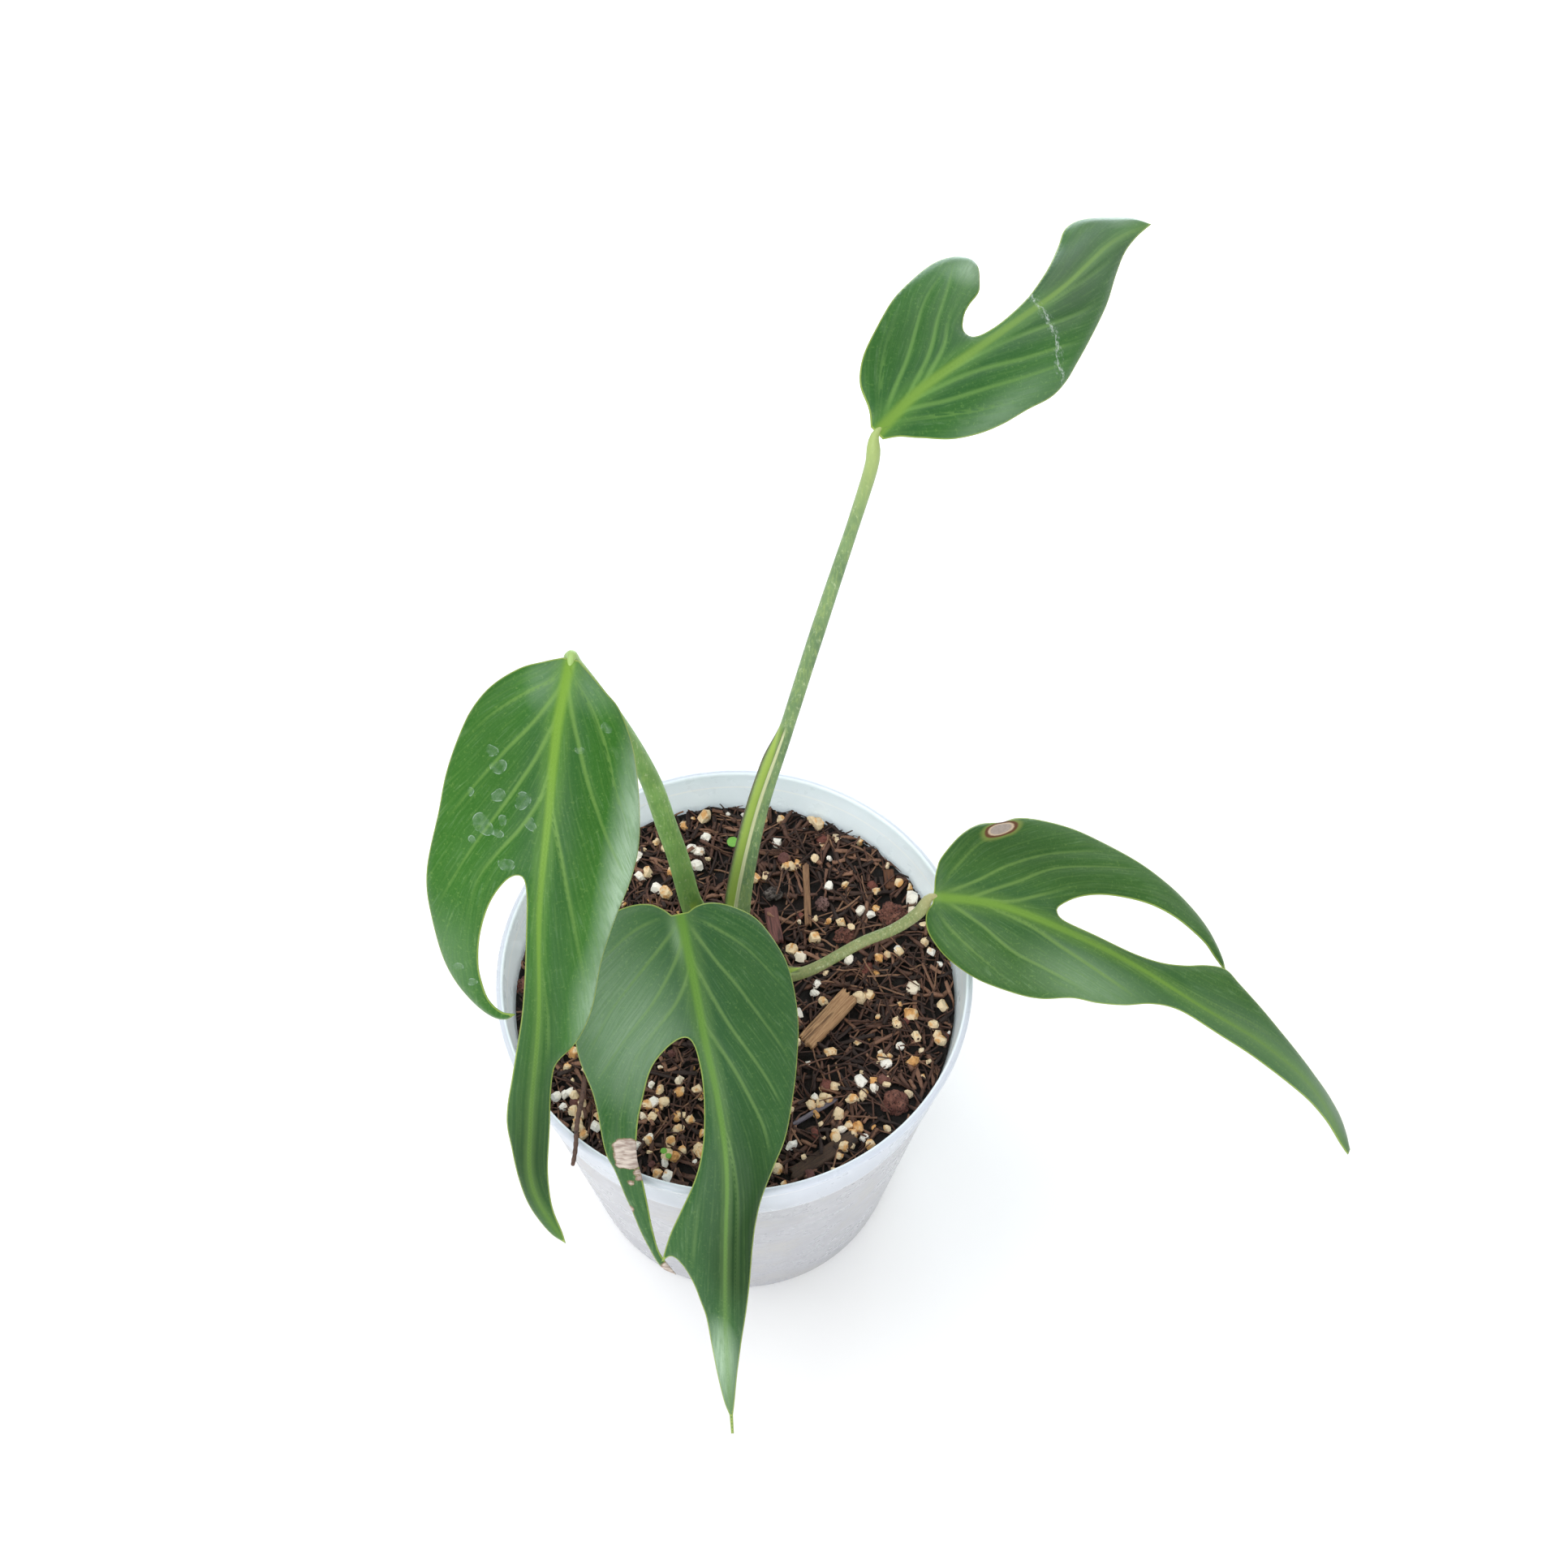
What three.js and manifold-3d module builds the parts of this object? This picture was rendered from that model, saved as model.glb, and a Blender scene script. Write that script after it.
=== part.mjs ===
// Potted Burle Marx Flame monstera: four split leaves on one short stem, in a frosted nursery pot.
// Millimetres, +Z up. The origin is the centre of the pot's underside, and the pot's front faces -Y.

import * as THREE from "three";
import { mergeVertices } from "three/addons/utils/BufferGeometryUtils.js";
import Module from "manifold-3d";

const wasm = await Module();
wasm.setup();

// Driving sizes
const GAP = 0.3; // clear space kept between two pieces that touch

const POT_HEIGHT = 120;
const POT_RIM_RADIUS = 65;
const POT_FOOT_RADIUS = 47;
const POT_WALL = 1.2;
const POT_FLOOR = 1.4;
const POT_BAND_HEIGHT = 22; // smooth band under the rim, down to a fine step
const POT_STEP = 0.5; // how far the band stands out past the wall below it
const POT_SIDES = 48;
const LIP_HEIGHT = 2.6;
const LIP_WIDTH = 2;
const DRAIN_HOLES = 8;
const DRAIN_RADIUS = 4;
const DRAIN_CIRCLE = 30;

const SOIL_LEVEL = 105;
const SOIL_SWELL = 1.1; // height of the soft bumps in the surface of the mix
const GRAIN_COUNT = 66;
const GRAIN_RADII = [1.4, 2.8];
const SMALL_GRAIN = 1.8; // grains below this radius get eight faces, the others twenty
const GRAIN_STAND = 0.25; // how far a grain's or fibre's middle stands up, as a share of its size
const FIBRE_COUNT = 30;
const FIBRE_LENGTHS = [9, 22];
const FIBRE_WIDTH = 1.3;

const STEM_CENTRE = [-1, 6];
const CLEAR_OF_STEM = 13; // no grain lies nearer to the stem's axis
const STEM_RADIUS = 5.5;
const STEM_TOP = 116;
const STEM_BOTTOM = 66;
const STEM_JOINTS = 5;
const ROOT_COUNT = 6;

const BLADE_THICKNESS = 0.8;
const OUTLINE_SPACING = 3.4; // distance between the points of a blade's outline
const BLADE_SPACING = 5.6; // distance between the points that split its faces
const RIB_HALF_WIDTH = 2.2; // midrib, raised on the underside
const RIB_HEIGHT = 1.5;

// Leaves
// A leaf is drawn flat first, in [across, along] millimetres from its base. Looking from the base
// to the tip with the upper face up, +across is its left half. The flat shape is then laid along the
// spine: fold tips each half down from the midrib, in degrees, curl bends it further, in degrees for
// each millimetre across, and roll turns the whole leaf about its spine. The lobe is the long finger
// beside the deep notch, whose tip hangs by drop below the rest of the blade.
const LEAVES = {
  left: {
    spine: [
      [-35, 11, 254], [-38, -3, 246], [-40, -18, 235], [-43, -33, 216],
      [-45, -47, 187], [-49, -59, 156], [-50, -68, 134], [-43, -75, 111],
    ],
    side: [1, 0, 0],
    roll: [6, 0],
    left: { fold: [-10, -5], curl: [-1.7, -1.9, -0.5] },
    right: { fold: [-4, -4], curl: [-0.6, -0.6, -0.5] },
    lobe: { half: -1, root: 53, tip: 108, split: [-5, -5.5], drop: 9 },
    outline: [
      [
        [2, 0], [8.5, 5], [14, 9.5], [19, 19], [22.6, 33], [24.7, 44.5], [23.3, 54], [19, 66],
        [15.8, 77.5], [13.5, 90], [10, 99.5], [5.6, 106], [4.6, 112], [4.9, 128], [4.8, 140],
        [4, 150.5], [2, 161], [0.9, 169], [0, 174],
      ],
      [
        [0, 174], [-2.3, 169], [-3.2, 160], [-3.2, 148], [-4.3, 138], [-5.9, 130], [-6.1, 124],
        [-5.4, 113.5], [-4.8, 102], [-4, 89], [-3.3, 74], [-3.1, 60], [-3.9, 53.5], [-5.7, 52],
        [-8.6, 54.2], [-12.2, 61], [-14.8, 71], [-15.6, 81], [-14.9, 88], [-13.2, 94.5],
        [-10, 98.3], [-6.4, 98],
      ],
      [
        [-6.4, 98], [-8.6, 101], [-12, 101.5], [-16.5, 98], [-21.2, 91], [-24.8, 82], [-27.3, 70],
        [-28.5, 57.5], [-27.4, 42], [-26.2, 29], [-23.2, 18.4], [-18.6, 10], [-12, 4.2], [-6, 1.5],
        [-2, 0],
      ],
    ],
  },
  front: {
    spine: [
      [-13, -7, 166], [-9.5, -22, 160], [-6.5, -36, 153], [-3, -50, 144],
      [-1, -64, 134.5], [-1.5, -79, 117.5], [-1.7, -93, 96], [-0.6, -107, 68],
    ],
    side: [1, 0, 0],
    roll: [0, 0],
    left: { fold: [-12, -5], curl: [-0.9, -1, -1] },
    right: { fold: [-3, -5], curl: [-0.4, -0.4, -1] },
    lobe: { half: -1, root: 31, tip: 102, split: [-5, -17.5], drop: 7 },
    outline: [
      [
        [2.2, 0], [5, -1.2], [9, -1.3], [14, 0.4], [20, 4.3], [24, 10.5], [26.6, 18], [27, 27],
        [26, 36], [23.6, 43.5], [20, 52], [16.2, 60.5], [12.4, 67], [9.6, 73.5], [8.2, 80],
        [7.2, 90], [6.5, 99.6], [5.5, 110], [4, 120], [2.4, 131], [1.3, 140], [0.5, 146],
      ],
      [[0.5, 146], [0.4, 153]],
      [[0.4, 153], [-0.4, 153]],
      [[-0.4, 153], [-0.5, 146]],
      [
        [-0.5, 146], [-1.7, 141], [-2.8, 132.4], [-3.9, 121], [-5, 111], [-6.5, 105.5],
        [-8.5, 98.5], [-11.5, 94], [-14.3, 92.6], [-16.9, 94.3],
      ],
      [
        [-16.9, 94.3], [-16.1, 88], [-13.8, 80.5], [-11.3, 75.3], [-8.7, 70], [-6.6, 63.5],
        [-4.9, 56], [-3.5, 47], [-2.8, 40], [-3.1, 33.6], [-5.2, 31.2], [-10.2, 33], [-15.6, 37.6],
        [-19.7, 46], [-22.4, 54.8], [-23.3, 64], [-22.3, 72], [-20.6, 82], [-19.4, 89],
        [-17.8, 95.5], [-14, 99.5],
      ],
      [
        [-14, 99.5], [-18.3, 98.3], [-21.5, 92], [-24.6, 84.5], [-27.8, 76.4], [-30.8, 64.4],
        [-31.9, 51], [-32.2, 40], [-33.5, 31], [-33, 22], [-31, 13], [-27, 5], [-22, -0.8],
        [-17, -4], [-11.5, -4.8], [-7, -4], [-4, -2], [-2.2, 0],
      ],
    ],
  },
  top: {
    spine: [
      [34, 41, 297.5], [43, 52, 298], [54, 63.5, 296.5], [66, 77, 293],
      [79, 94.5, 286], [93, 119, 275], [105.5, 135.5, 265],
    ],
    side: [-0.8, 0.6, 0],
    roll: [24, 16],
    left: { fold: [-4, -4], curl: [-0.6, -0.7, -0.8] },
    right: { fold: [-8, -5], curl: [-1.4, -1.4, -0.8] },
    lobe: { half: 1, root: 36, tip: 68, split: [5, 7], drop: 3 },
    outline: [
      [
        [2, 0], [4.9, 2.9], [9.9, 6], [13.6, 10.7], [16.8, 17], [20.8, 26.6], [23, 36],
        [24.3, 45.5], [24, 52.5], [22.3, 58], [20, 60.4], [17.2, 59], [14.1, 54.6], [11.3, 49.8],
        [10, 44], [8.4, 39.6], [5.6, 35.9], [3.2, 36], [2.1, 39.5], [2, 47], [3, 57.5], [5, 68.5],
        [7, 79.5], [8.6, 87.5], [10.2, 94], [10.2, 100], [9, 106], [7, 113], [4.2, 121],
        [0, 125.3],
      ],
      [
        [0, 125.3], [-0.8, 119.5], [-1.8, 114], [-4, 104], [-6.6, 95], [-9.9, 84], [-12.6, 73],
        [-16, 62], [-18.2, 55], [-19.2, 48], [-18.5, 40], [-17.8, 31], [-15.6, 21.5],
        [-12.3, 13.2], [-7.8, 7.2], [-4.2, 3.4], [-2, 0],
      ],
    ],
  },
  right: {
    spine: [
      [53.5, 12, 140.5], [71, 9.5, 140], [90.5, 3.5, 135.5], [108, -2.7, 128.5],
      [127, -10, 118], [146, -15.5, 105], [161, -23, 91.5], [172.5, -34, 73],
    ],
    side: [0.35, 0.94, 0],
    roll: [14, 0],
    left: { fold: [-3, -3], curl: [-0.4, -0.4, -0.4] },
    right: { fold: [-14, -5], curl: [-1, -1, -0.8] },
    lobe: { half: 1, root: 33, tip: 92, split: [4, 15.5], drop: 7 },
    outline: [
      [
        [2, 0], [5, -0.2], [8, 0], [11.4, 0.9], [18.3, 5.5], [22.5, 10], [24.2, 14.7],
        [26.7, 17.7], [28.3, 23], [29.8, 33], [29.8, 46], [28.9, 58], [27.8, 69], [26.2, 77],
        [23.4, 84.5], [20.2, 89.2], [17.2, 91.5],
      ],
      [
        [17.2, 91.5], [18.9, 86], [20.7, 80], [21.1, 73], [20.5, 64], [18.8, 54.5], [15.1, 44.4],
        [10.7, 37.4], [6.2, 33.4], [4, 33.2], [2.6, 35.8], [2.5, 44], [3, 56], [4.8, 64.7],
        [7.9, 71.7], [11.8, 78], [14, 83], [14.4, 87], [12.6, 91.5], [10.2, 97.8], [8, 104.4],
        [6.4, 111.5], [4.9, 119.2], [4.2, 126], [4.7, 134], [5.2, 141], [4.4, 147], [2.6, 151.5],
      ],
      [[2.6, 151.5], [0.6, 151.5]],
      [
        [0.6, 151.5], [-0.3, 147], [-1.2, 139], [-2.8, 129.6], [-4.2, 118], [-4.6, 106],
        [-4.3, 92], [-3.8, 80], [-4.6, 73.2], [-7, 67.2], [-10.7, 61.3], [-13.8, 54],
        [-15.8, 46.7], [-19.6, 39], [-21.2, 32], [-21.4, 21], [-20, 12], [-16.7, 5.5],
        [-12, 1.2], [-8, -0.9], [-4.5, -1.2], [-2, 0],
      ],
    ],
  },
};

// Leaf stalks
// The path starts in the mix, and its last stretch runs into the blade's base square on, or, where
// meets is "underside", comes up under it. Radii are spaced evenly from foot to top. The sheath is the
// open channel with two wings up the inner face, to the given share of the length.
const PETIOLE_RINGS = 18;
const PETIOLE_SIDES = 12;
const SHEATH_DEPTH = 0.6; // share of the radius that the channel takes away
const SHEATH_WING = 0.9;
const PETIOLES = {
  left: {
    path: [
      [-4, 9, 102], [-8.6, 12.5, 117], [-11.6, 14.8, 130], [-14.4, 17, 151.5], [-16.8, 17.7, 167],
      [-20.3, 18.4, 190], [-26, 17.4, 215], [-31.8, 15.2, 236.5], [-35, 13.6, 248.5],
    ],
    radii: [3.1, 2.9, 2.7, 2.2, 1.9],
    sheath: { share: 0.22, facing: [0.7, -0.7, 0] },
  },
  front: {
    path: [
      [-3, 3, 102], [-6, 2, 117], [-10, -2, 134], [-12.6, -7, 149], [-13, -9.6, 160],
      [-13, -9.7, 166],
    ],
    meets: "underside",
    radii: [2.9, 2.5, 2.1, 1.8],
    sheath: { share: 0.4, facing: [0.3, 0.95, 0] },
  },
  top: {
    path: [
      [0.5, 8, 102], [1, 10, 120], [2, 13.6, 140], [6.9, 20.7, 170], [14, 27.2, 199],
      [20.2, 32, 227.5], [25, 35.2, 249.5], [29.6, 37.7, 271], [32.8, 38.6, 289],
    ],
    radii: [3.3, 3, 2.3, 1.8, 1.8, 1.5, 1.6],
    sheath: { share: 0.46, facing: [-0.5, -0.85, 0] },
  },
  right: {
    path: [
      [1.5, 4, 102], [5, 0.5, 113], [11.5, -2.8, 121], [20.9, -3.6, 128], [34, 1.8, 133],
      [43, 4.8, 135.3], [49.5, 8.7, 137.2],
    ],
    radii: [2.6, 1.8, 1.5, 1.5, 1.9],
    sheath: { share: 0.42, facing: [0, 0.3, 0.95] },
  },
};

// Loose pieces lying on the mix: size is length, width and thickness, at is the middle, turn is the
// heading of the length from +X, and tilt lifts its far end, both in degrees.
const CHIPS = {
  wood_chip: { size: [19, 6.2, 3.4], at: [25.6, -8.2, 106.9], turn: 49, tilt: 2, colour: 0x9a7448 },
  dark_bark: { size: [20.5, 4.6, 3], at: [24.2, -48, 105.6], turn: 33, tilt: 4, colour: 0x35241d },
  red_bark: { size: [11, 4.2, 2.4], at: [10.6, 21.4, 106.4], turn: -80, tilt: -4, colour: 0x5e3732 },
  pale_stick: { size: [19.5, 2.2, 2], at: [20, 31, 106.4], turn: -88, tilt: -2, colour: 0x7a5630 },
  bark_flake: { size: [6, 3.4, 1.6], at: [43.6, 36.4, 106], turn: 95, tilt: 10, colour: 0x5a3824 },
  grey_straw: { size: [14, 1.4, 1.2], at: [21.6, -35.4, 105.9], turn: 32, tilt: 3, colour: 0x6f6670 },
};

const STONES = {
  lava_stone_right: { radii: [4, 3.6, 2.8], at: [44, 25, 106.6], turn: 20, colour: 0x6b342b },
  lava_stone_front: { radii: [4.4, 4, 3], at: [43.5, -33, 106.4], turn: 70, colour: 0x6f4a40 },
  lava_stone_left: { radii: [3.1, 3.4, 2.8], at: [-57.7, 2, 106.6], turn: 0, colour: 0x5a2c24 },
  lava_stone_middle: { radii: [3.1, 2.6, 2.4], at: [30.4, 18.4, 106], turn: 15, colour: 0x63302a },
  mauve_stone: { radii: [2.4, 2.3, 2], at: [24.4, 28.4, 106.2], turn: 40, colour: 0x7a4f50 },
  grey_stone: { radii: [2.6, 2.2, 1.9], at: [10.5, 31.5, 106.6], turn: 10, colour: 0x5c5550 },
};

// A thin stick that leans out over the rim, at the front left.
const RIM_STICK = { from: [-40.9, -24.5, 104.8], to: [-40.6, -60.4, 130], width: 1.4 };

const COLOURS = {
  pot: 0xdde3ea,
  mix: 0x2c1d17,
  stem: 0x6d7c46,
  petiole: 0x7fa25c,
  blades: { left: 0x3f7a34, front: 0x3b6640, top: 0x44763f, right: 0x3d7036 },
  stick: 0x3d2a22,
};

// Small helpers
const degrees = THREE.MathUtils.degToRad;
const mix = THREE.MathUtils.lerp;
const vector = (p) => new THREE.Vector3(p[0], p[1], p[2] ?? 0);

// The value at a share from 0 to 1 along a short list of evenly spaced values.
function along(values, share) {
  const place = THREE.MathUtils.clamp(share, 0, 1) * (values.length - 1);
  const first = Math.min(Math.floor(place), values.length - 2);
  return mix(values[first], values[first + 1], place - first);
}

// Repeatable random numbers from 0 to 1.
function randomFrom(seed) {
  let state = seed;
  return () => {
    state = (Math.imul(state, 1664525) + 1013904223) >>> 0;
    return state / 4294967296;
  };
}

const curveThrough = (points) =>
  new THREE.CatmullRomCurve3(points.map(vector), false, "catmullrom", 0.5);

function geometryFrom(positions, triangles) {
  const geometry = new THREE.BufferGeometry();
  geometry.setAttribute("position", new THREE.Float32BufferAttribute(positions, 3));
  geometry.setIndex(triangles);
  return geometry;
}

function solidOf(geometry) {
  const bare = geometry.clone();
  bare.deleteAttribute("normal");
  bare.deleteAttribute("uv");
  const merged = mergeVertices(bare, 1e-4);
  return new wasm.Manifold(
    new wasm.Mesh({
      numProp: 3,
      vertProperties: merged.attributes.position.array,
      triVerts: new Uint32Array(merged.index.array),
    }),
  );
}

function geometryOf(solid) {
  const { vertProperties, triVerts } = solid.getMesh();
  return geometryFrom(Array.from(vertProperties), Array.from(triVerts));
}

const part = new THREE.Group();

function addMesh(name, geometry, colour, roughness) {
  const material = new THREE.MeshStandardMaterial({ color: colour, roughness, metalness: 0 });
  const mesh = new THREE.Mesh(geometry, material);
  mesh.name = name;
  part.add(mesh);
  return mesh;
}

// Pot: a turned wall and floor with a stepped band and a rounded lip, and holes for drainage.
const BAND_BOTTOM = POT_HEIGHT - POT_BAND_HEIGHT;
const STEP_TOP = BAND_BOTTOM + 0.4;
const STEP_FOOT = BAND_BOTTOM - 0.4;
const BAND_TOP_RADIUS = POT_RIM_RADIUS - 0.7;
const WALL_TOP_RADIUS = 61;

// Outer radius of the plain wall at a height, below the band and within it.
function wallRadius(height) {
  if (height < BAND_BOTTOM) return mix(POT_FOOT_RADIUS, WALL_TOP_RADIUS, height / BAND_BOTTOM);
  const share = (height - BAND_BOTTOM) / POT_BAND_HEIGHT;
  return mix(WALL_TOP_RADIUS + POT_STEP, BAND_TOP_RADIUS, share);
}

const innerRadius = (height) => wallRadius(height) - POT_WALL;

function lathe(profile, sides) {
  const geometry = new THREE.LatheGeometry(
    profile.map(([radius, height]) => new THREE.Vector2(radius, height)),
    sides,
  );
  return geometry.rotateX(Math.PI / 2);
}

function cylinder(radius, bottom, top, x, y) {
  const geometry = new THREE.CylinderGeometry(radius, radius, top - bottom, 16);
  return geometry.rotateX(Math.PI / 2).translate(x, y, (top + bottom) / 2);
}

function makePot() {
  const lipBottom = POT_HEIGHT - LIP_HEIGHT;
  const profile = [
    [0, 0],
    [POT_FOOT_RADIUS - 0.8, 0],
    [POT_FOOT_RADIUS, 0.8],
    [WALL_TOP_RADIUS, BAND_BOTTOM],
    [WALL_TOP_RADIUS + POT_STEP, STEP_TOP],
    [wallRadius(lipBottom), lipBottom],
    [POT_RIM_RADIUS - 0.2, lipBottom + 0.5],
    [POT_RIM_RADIUS, lipBottom + 1.2],
    [POT_RIM_RADIUS - 0.2, POT_HEIGHT - 0.5],
    [POT_RIM_RADIUS - 0.7, POT_HEIGHT],
    [POT_RIM_RADIUS - LIP_WIDTH + 0.4, POT_HEIGHT],
    [POT_RIM_RADIUS - LIP_WIDTH, POT_HEIGHT - 0.4],
    [innerRadius(lipBottom), lipBottom],
    [innerRadius(STEP_TOP), STEP_TOP],
    [innerRadius(STEP_FOOT), STEP_FOOT],
    [innerRadius(POT_FLOOR + 1.5), POT_FLOOR + 1.5],
    [innerRadius(POT_FLOOR) - 1.5, POT_FLOOR],
    [0, POT_FLOOR],
  ];
  let pot = solidOf(lathe(profile, POT_SIDES));
  for (let hole = 0; hole < DRAIN_HOLES; hole++) {
    const angle = (hole / DRAIN_HOLES) * 2 * Math.PI;
    const x = DRAIN_CIRCLE * Math.cos(angle);
    const y = DRAIN_CIRCLE * Math.sin(angle);
    pot = pot.subtract(solidOf(cylinder(DRAIN_RADIUS, -1, POT_FLOOR + 1, x, y)));
  }
  return pot;
}

// Loft: rings of points along a curve, closed at both ends. The radius may differ round the ring,
// and both ends may run on past the curve.
function loft(curve, rings, sides, radiusAt, runOn = 0) {
  const frames = curve.computeFrenetFrames(rings, false);
  const positions = [];
  const triangles = [];
  const centres = [];
  for (let ring = 0; ring <= rings; ring++) {
    const share = ring / rings;
    const onward = ring === 0 ? -runOn : ring === rings ? runOn : 0;
    const centre = curve.getPointAt(share).addScaledVector(frames.tangents[ring], onward);
    centres.push(centre);
    for (let side = 0; side < sides; side++) {
      const angle = (side / sides) * 2 * Math.PI;
      const outward = frames.normals[ring]
        .clone()
        .multiplyScalar(Math.cos(angle))
        .addScaledVector(frames.binormals[ring], Math.sin(angle));
      const point = centre.clone().addScaledVector(outward, radiusAt(share, outward));
      positions.push(...point.toArray());
      if (ring === rings) continue;
      const here = ring * sides + side;
      const next = ring * sides + ((side + 1) % sides);
      triangles.push(here, next, next + sides, here, next + sides, here + sides);
    }
  }
  const first = positions.length / 3;
  positions.push(...centres[0].toArray(), ...centres[rings].toArray());
  for (let side = 0; side < sides; side++) {
    const next = (side + 1) % sides;
    triangles.push(first, next, side);
    triangles.push(first + 1, rings * sides + side, rings * sides + next);
  }
  return geometryFrom(positions, triangles);
}

// Stem: a short ringed cane, mostly in the mix, with roots that curve down into it.
function makeStem(grow) {
  const bottom = STEM_BOTTOM - grow;
  const top = STEM_TOP + grow;
  const profile = [[0, bottom]];
  for (let joint = 0; joint < STEM_JOINTS; joint++) {
    const share = joint / STEM_JOINTS;
    const radius = STEM_RADIUS * mix(0.75, 1, share);
    profile.push([radius + grow, mix(bottom, top, share)]);
    profile.push([radius * 0.9 + grow, mix(bottom, top, share + 0.5 / STEM_JOINTS)]);
  }
  profile.push([STEM_RADIUS * 0.45 + grow, top]);
  profile.push([0, top]);
  let stem = solidOf(lathe(profile, 12).translate(...STEM_CENTRE, 0));
  for (let root = 0; root < ROOT_COUNT; root++) {
    const angle = (root / ROOT_COUNT) * 2 * Math.PI + 0.4;
    const reach = 20 + 5 * (root % 3);
    const start = 72 + 5 * (root % 4);
    const path = [0, 0.3, 0.7, 1].map((share) => [
      STEM_CENTRE[0] + reach * share * Math.cos(angle + 0.5 * share),
      STEM_CENTRE[1] + reach * share * Math.sin(angle + 0.5 * share),
      start - 34 * share * share,
    ]);
    const radius = (share) => mix(1.7, 0.8, share) + grow;
    stem = stem.add(solidOf(loft(curveThrough(path), 5, 5, radius, grow)));
  }
  return stem;
}

// Leaf surface: where a flat leaf point, across and along, lies in space.
function spineFrame(leaf, y) {
  const length = leaf.curve.getLength();
  const share = THREE.MathUtils.clamp(y / length, 0, 1);
  const tangent = leaf.curve.getTangentAt(share);
  const origin = leaf.curve.getPointAt(share).addScaledVector(tangent, y - share * length);
  const side = vector(leaf.side);
  side.addScaledVector(tangent, -side.dot(tangent)).normalize();
  side.applyAxisAngle(tangent, degrees(along(leaf.roll, share)));
  const up = tangent.clone().cross(side);
  return { origin, side, up, share };
}

function lobeDrop(lobe, x, y) {
  if (y < lobe.root || y > lobe.tip + 3) return 0;
  const share = (y - lobe.root) / (lobe.tip - lobe.root);
  const split = mix(lobe.split[0], lobe.split[1], Math.min(share, 1));
  return lobe.half * x > lobe.half * split ? lobe.drop * share * share : 0;
}

function surfacePoint(leaf, x, y) {
  const { origin, side, up, share } = spineFrame(leaf, y);
  const half = x > 0 ? leaf.left : leaf.right;
  const fold = degrees(along(half.fold, share));
  const curl = degrees(along(half.curl, share));
  const reach = Math.abs(x);
  const across = (Math.sin(fold + curl * reach) - Math.sin(fold)) / curl;
  const lift = (Math.cos(fold) - Math.cos(fold + curl * reach)) / curl;
  return origin
    .addScaledVector(side, Math.sign(x) * across)
    .addScaledVector(up, lift - lobeDrop(leaf.lobe, x, y));
}

function surfaceNormal(leaf, x, y) {
  const step = 0.4;
  const across = surfacePoint(leaf, x + step, y).sub(surfacePoint(leaf, x - step, y));
  const onward = surfacePoint(leaf, x, y + step).sub(surfacePoint(leaf, x, y - step));
  return onward.cross(across).normalize();
}

// Outline: smooth strokes that meet at sharp corners, as a closed ring of flat points, anticlockwise.
function outlinePoints(strokes, spacing) {
  const ring = [];
  for (const stroke of strokes) {
    const curve = curveThrough(stroke);
    const steps = Math.max(1, Math.round(curve.getLength() / spacing));
    const points = curve.getSpacedPoints(steps);
    points.pop();
    ring.push(...points.map((p) => [p.x, p.y]));
  }
  ring.push(strokes.at(-1).at(-1));
  return ring;
}

function isInside(ring, [x, y]) {
  let inside = false;
  ring.forEach(([ax, ay], index) => {
    const [bx, by] = ring[(index + 1) % ring.length];
    if (ay > y !== by > y && x < ax + ((y - ay) / (by - ay)) * (bx - ax)) inside = !inside;
  });
  return inside;
}

function distanceToRing(ring, [x, y]) {
  let nearest = Infinity;
  ring.forEach(([ax, ay], index) => {
    const [bx, by] = ring[(index + 1) % ring.length];
    const length = (bx - ax) ** 2 + (by - ay) ** 2;
    const share = ((x - ax) * (bx - ax) + (y - ay) * (by - ay)) / length;
    const t = THREE.MathUtils.clamp(share, 0, 1);
    nearest = Math.min(nearest, Math.hypot(x - mix(ax, bx, t), y - mix(ay, by, t)));
  });
  return nearest;
}

// Flat points inside the outline: rows along the midrib, and a staggered grid over the rest.
function innerPoints(ring, spacing) {
  const points = [];
  const top = Math.max(...ring.map((p) => p[1]));
  const reach = Math.max(...ring.map((p) => Math.abs(p[0])));
  for (let y = 1.5; y < top - 4; y += spacing) {
    for (const x of [-RIB_HALF_WIDTH, 0, RIB_HALF_WIDTH]) points.push([x, y]);
  }
  const rise = spacing * 0.87;
  for (let row = -3; row * rise < top; row++) {
    const shift = row % 2 ? spacing / 2 : 0;
    for (let x = -reach + shift; x < reach; x += spacing) {
      if (Math.abs(x) > RIB_HALF_WIDTH + spacing * 0.5) points.push([x, row * rise]);
    }
  }
  return points.filter((p) => isInside(ring, p) && distanceToRing(ring, p) > spacing * 0.3);
}

const edgeKey = (a, b) => `${Math.min(a, b)},${Math.max(a, b)}`;

function inCircle(points, triangle, [x, y]) {
  const [a, b, c] = triangle.map((index) => [points[index][0] - x, points[index][1] - y]);
  const square = ([u, v]) => u * u + v * v;
  const value =
    square(a) * (b[0] * c[1] - c[0] * b[1]) -
    square(b) * (a[0] * c[1] - c[0] * a[1]) +
    square(c) * (a[0] * b[1] - b[0] * a[1]);
  return value > 1e-9;
}

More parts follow.
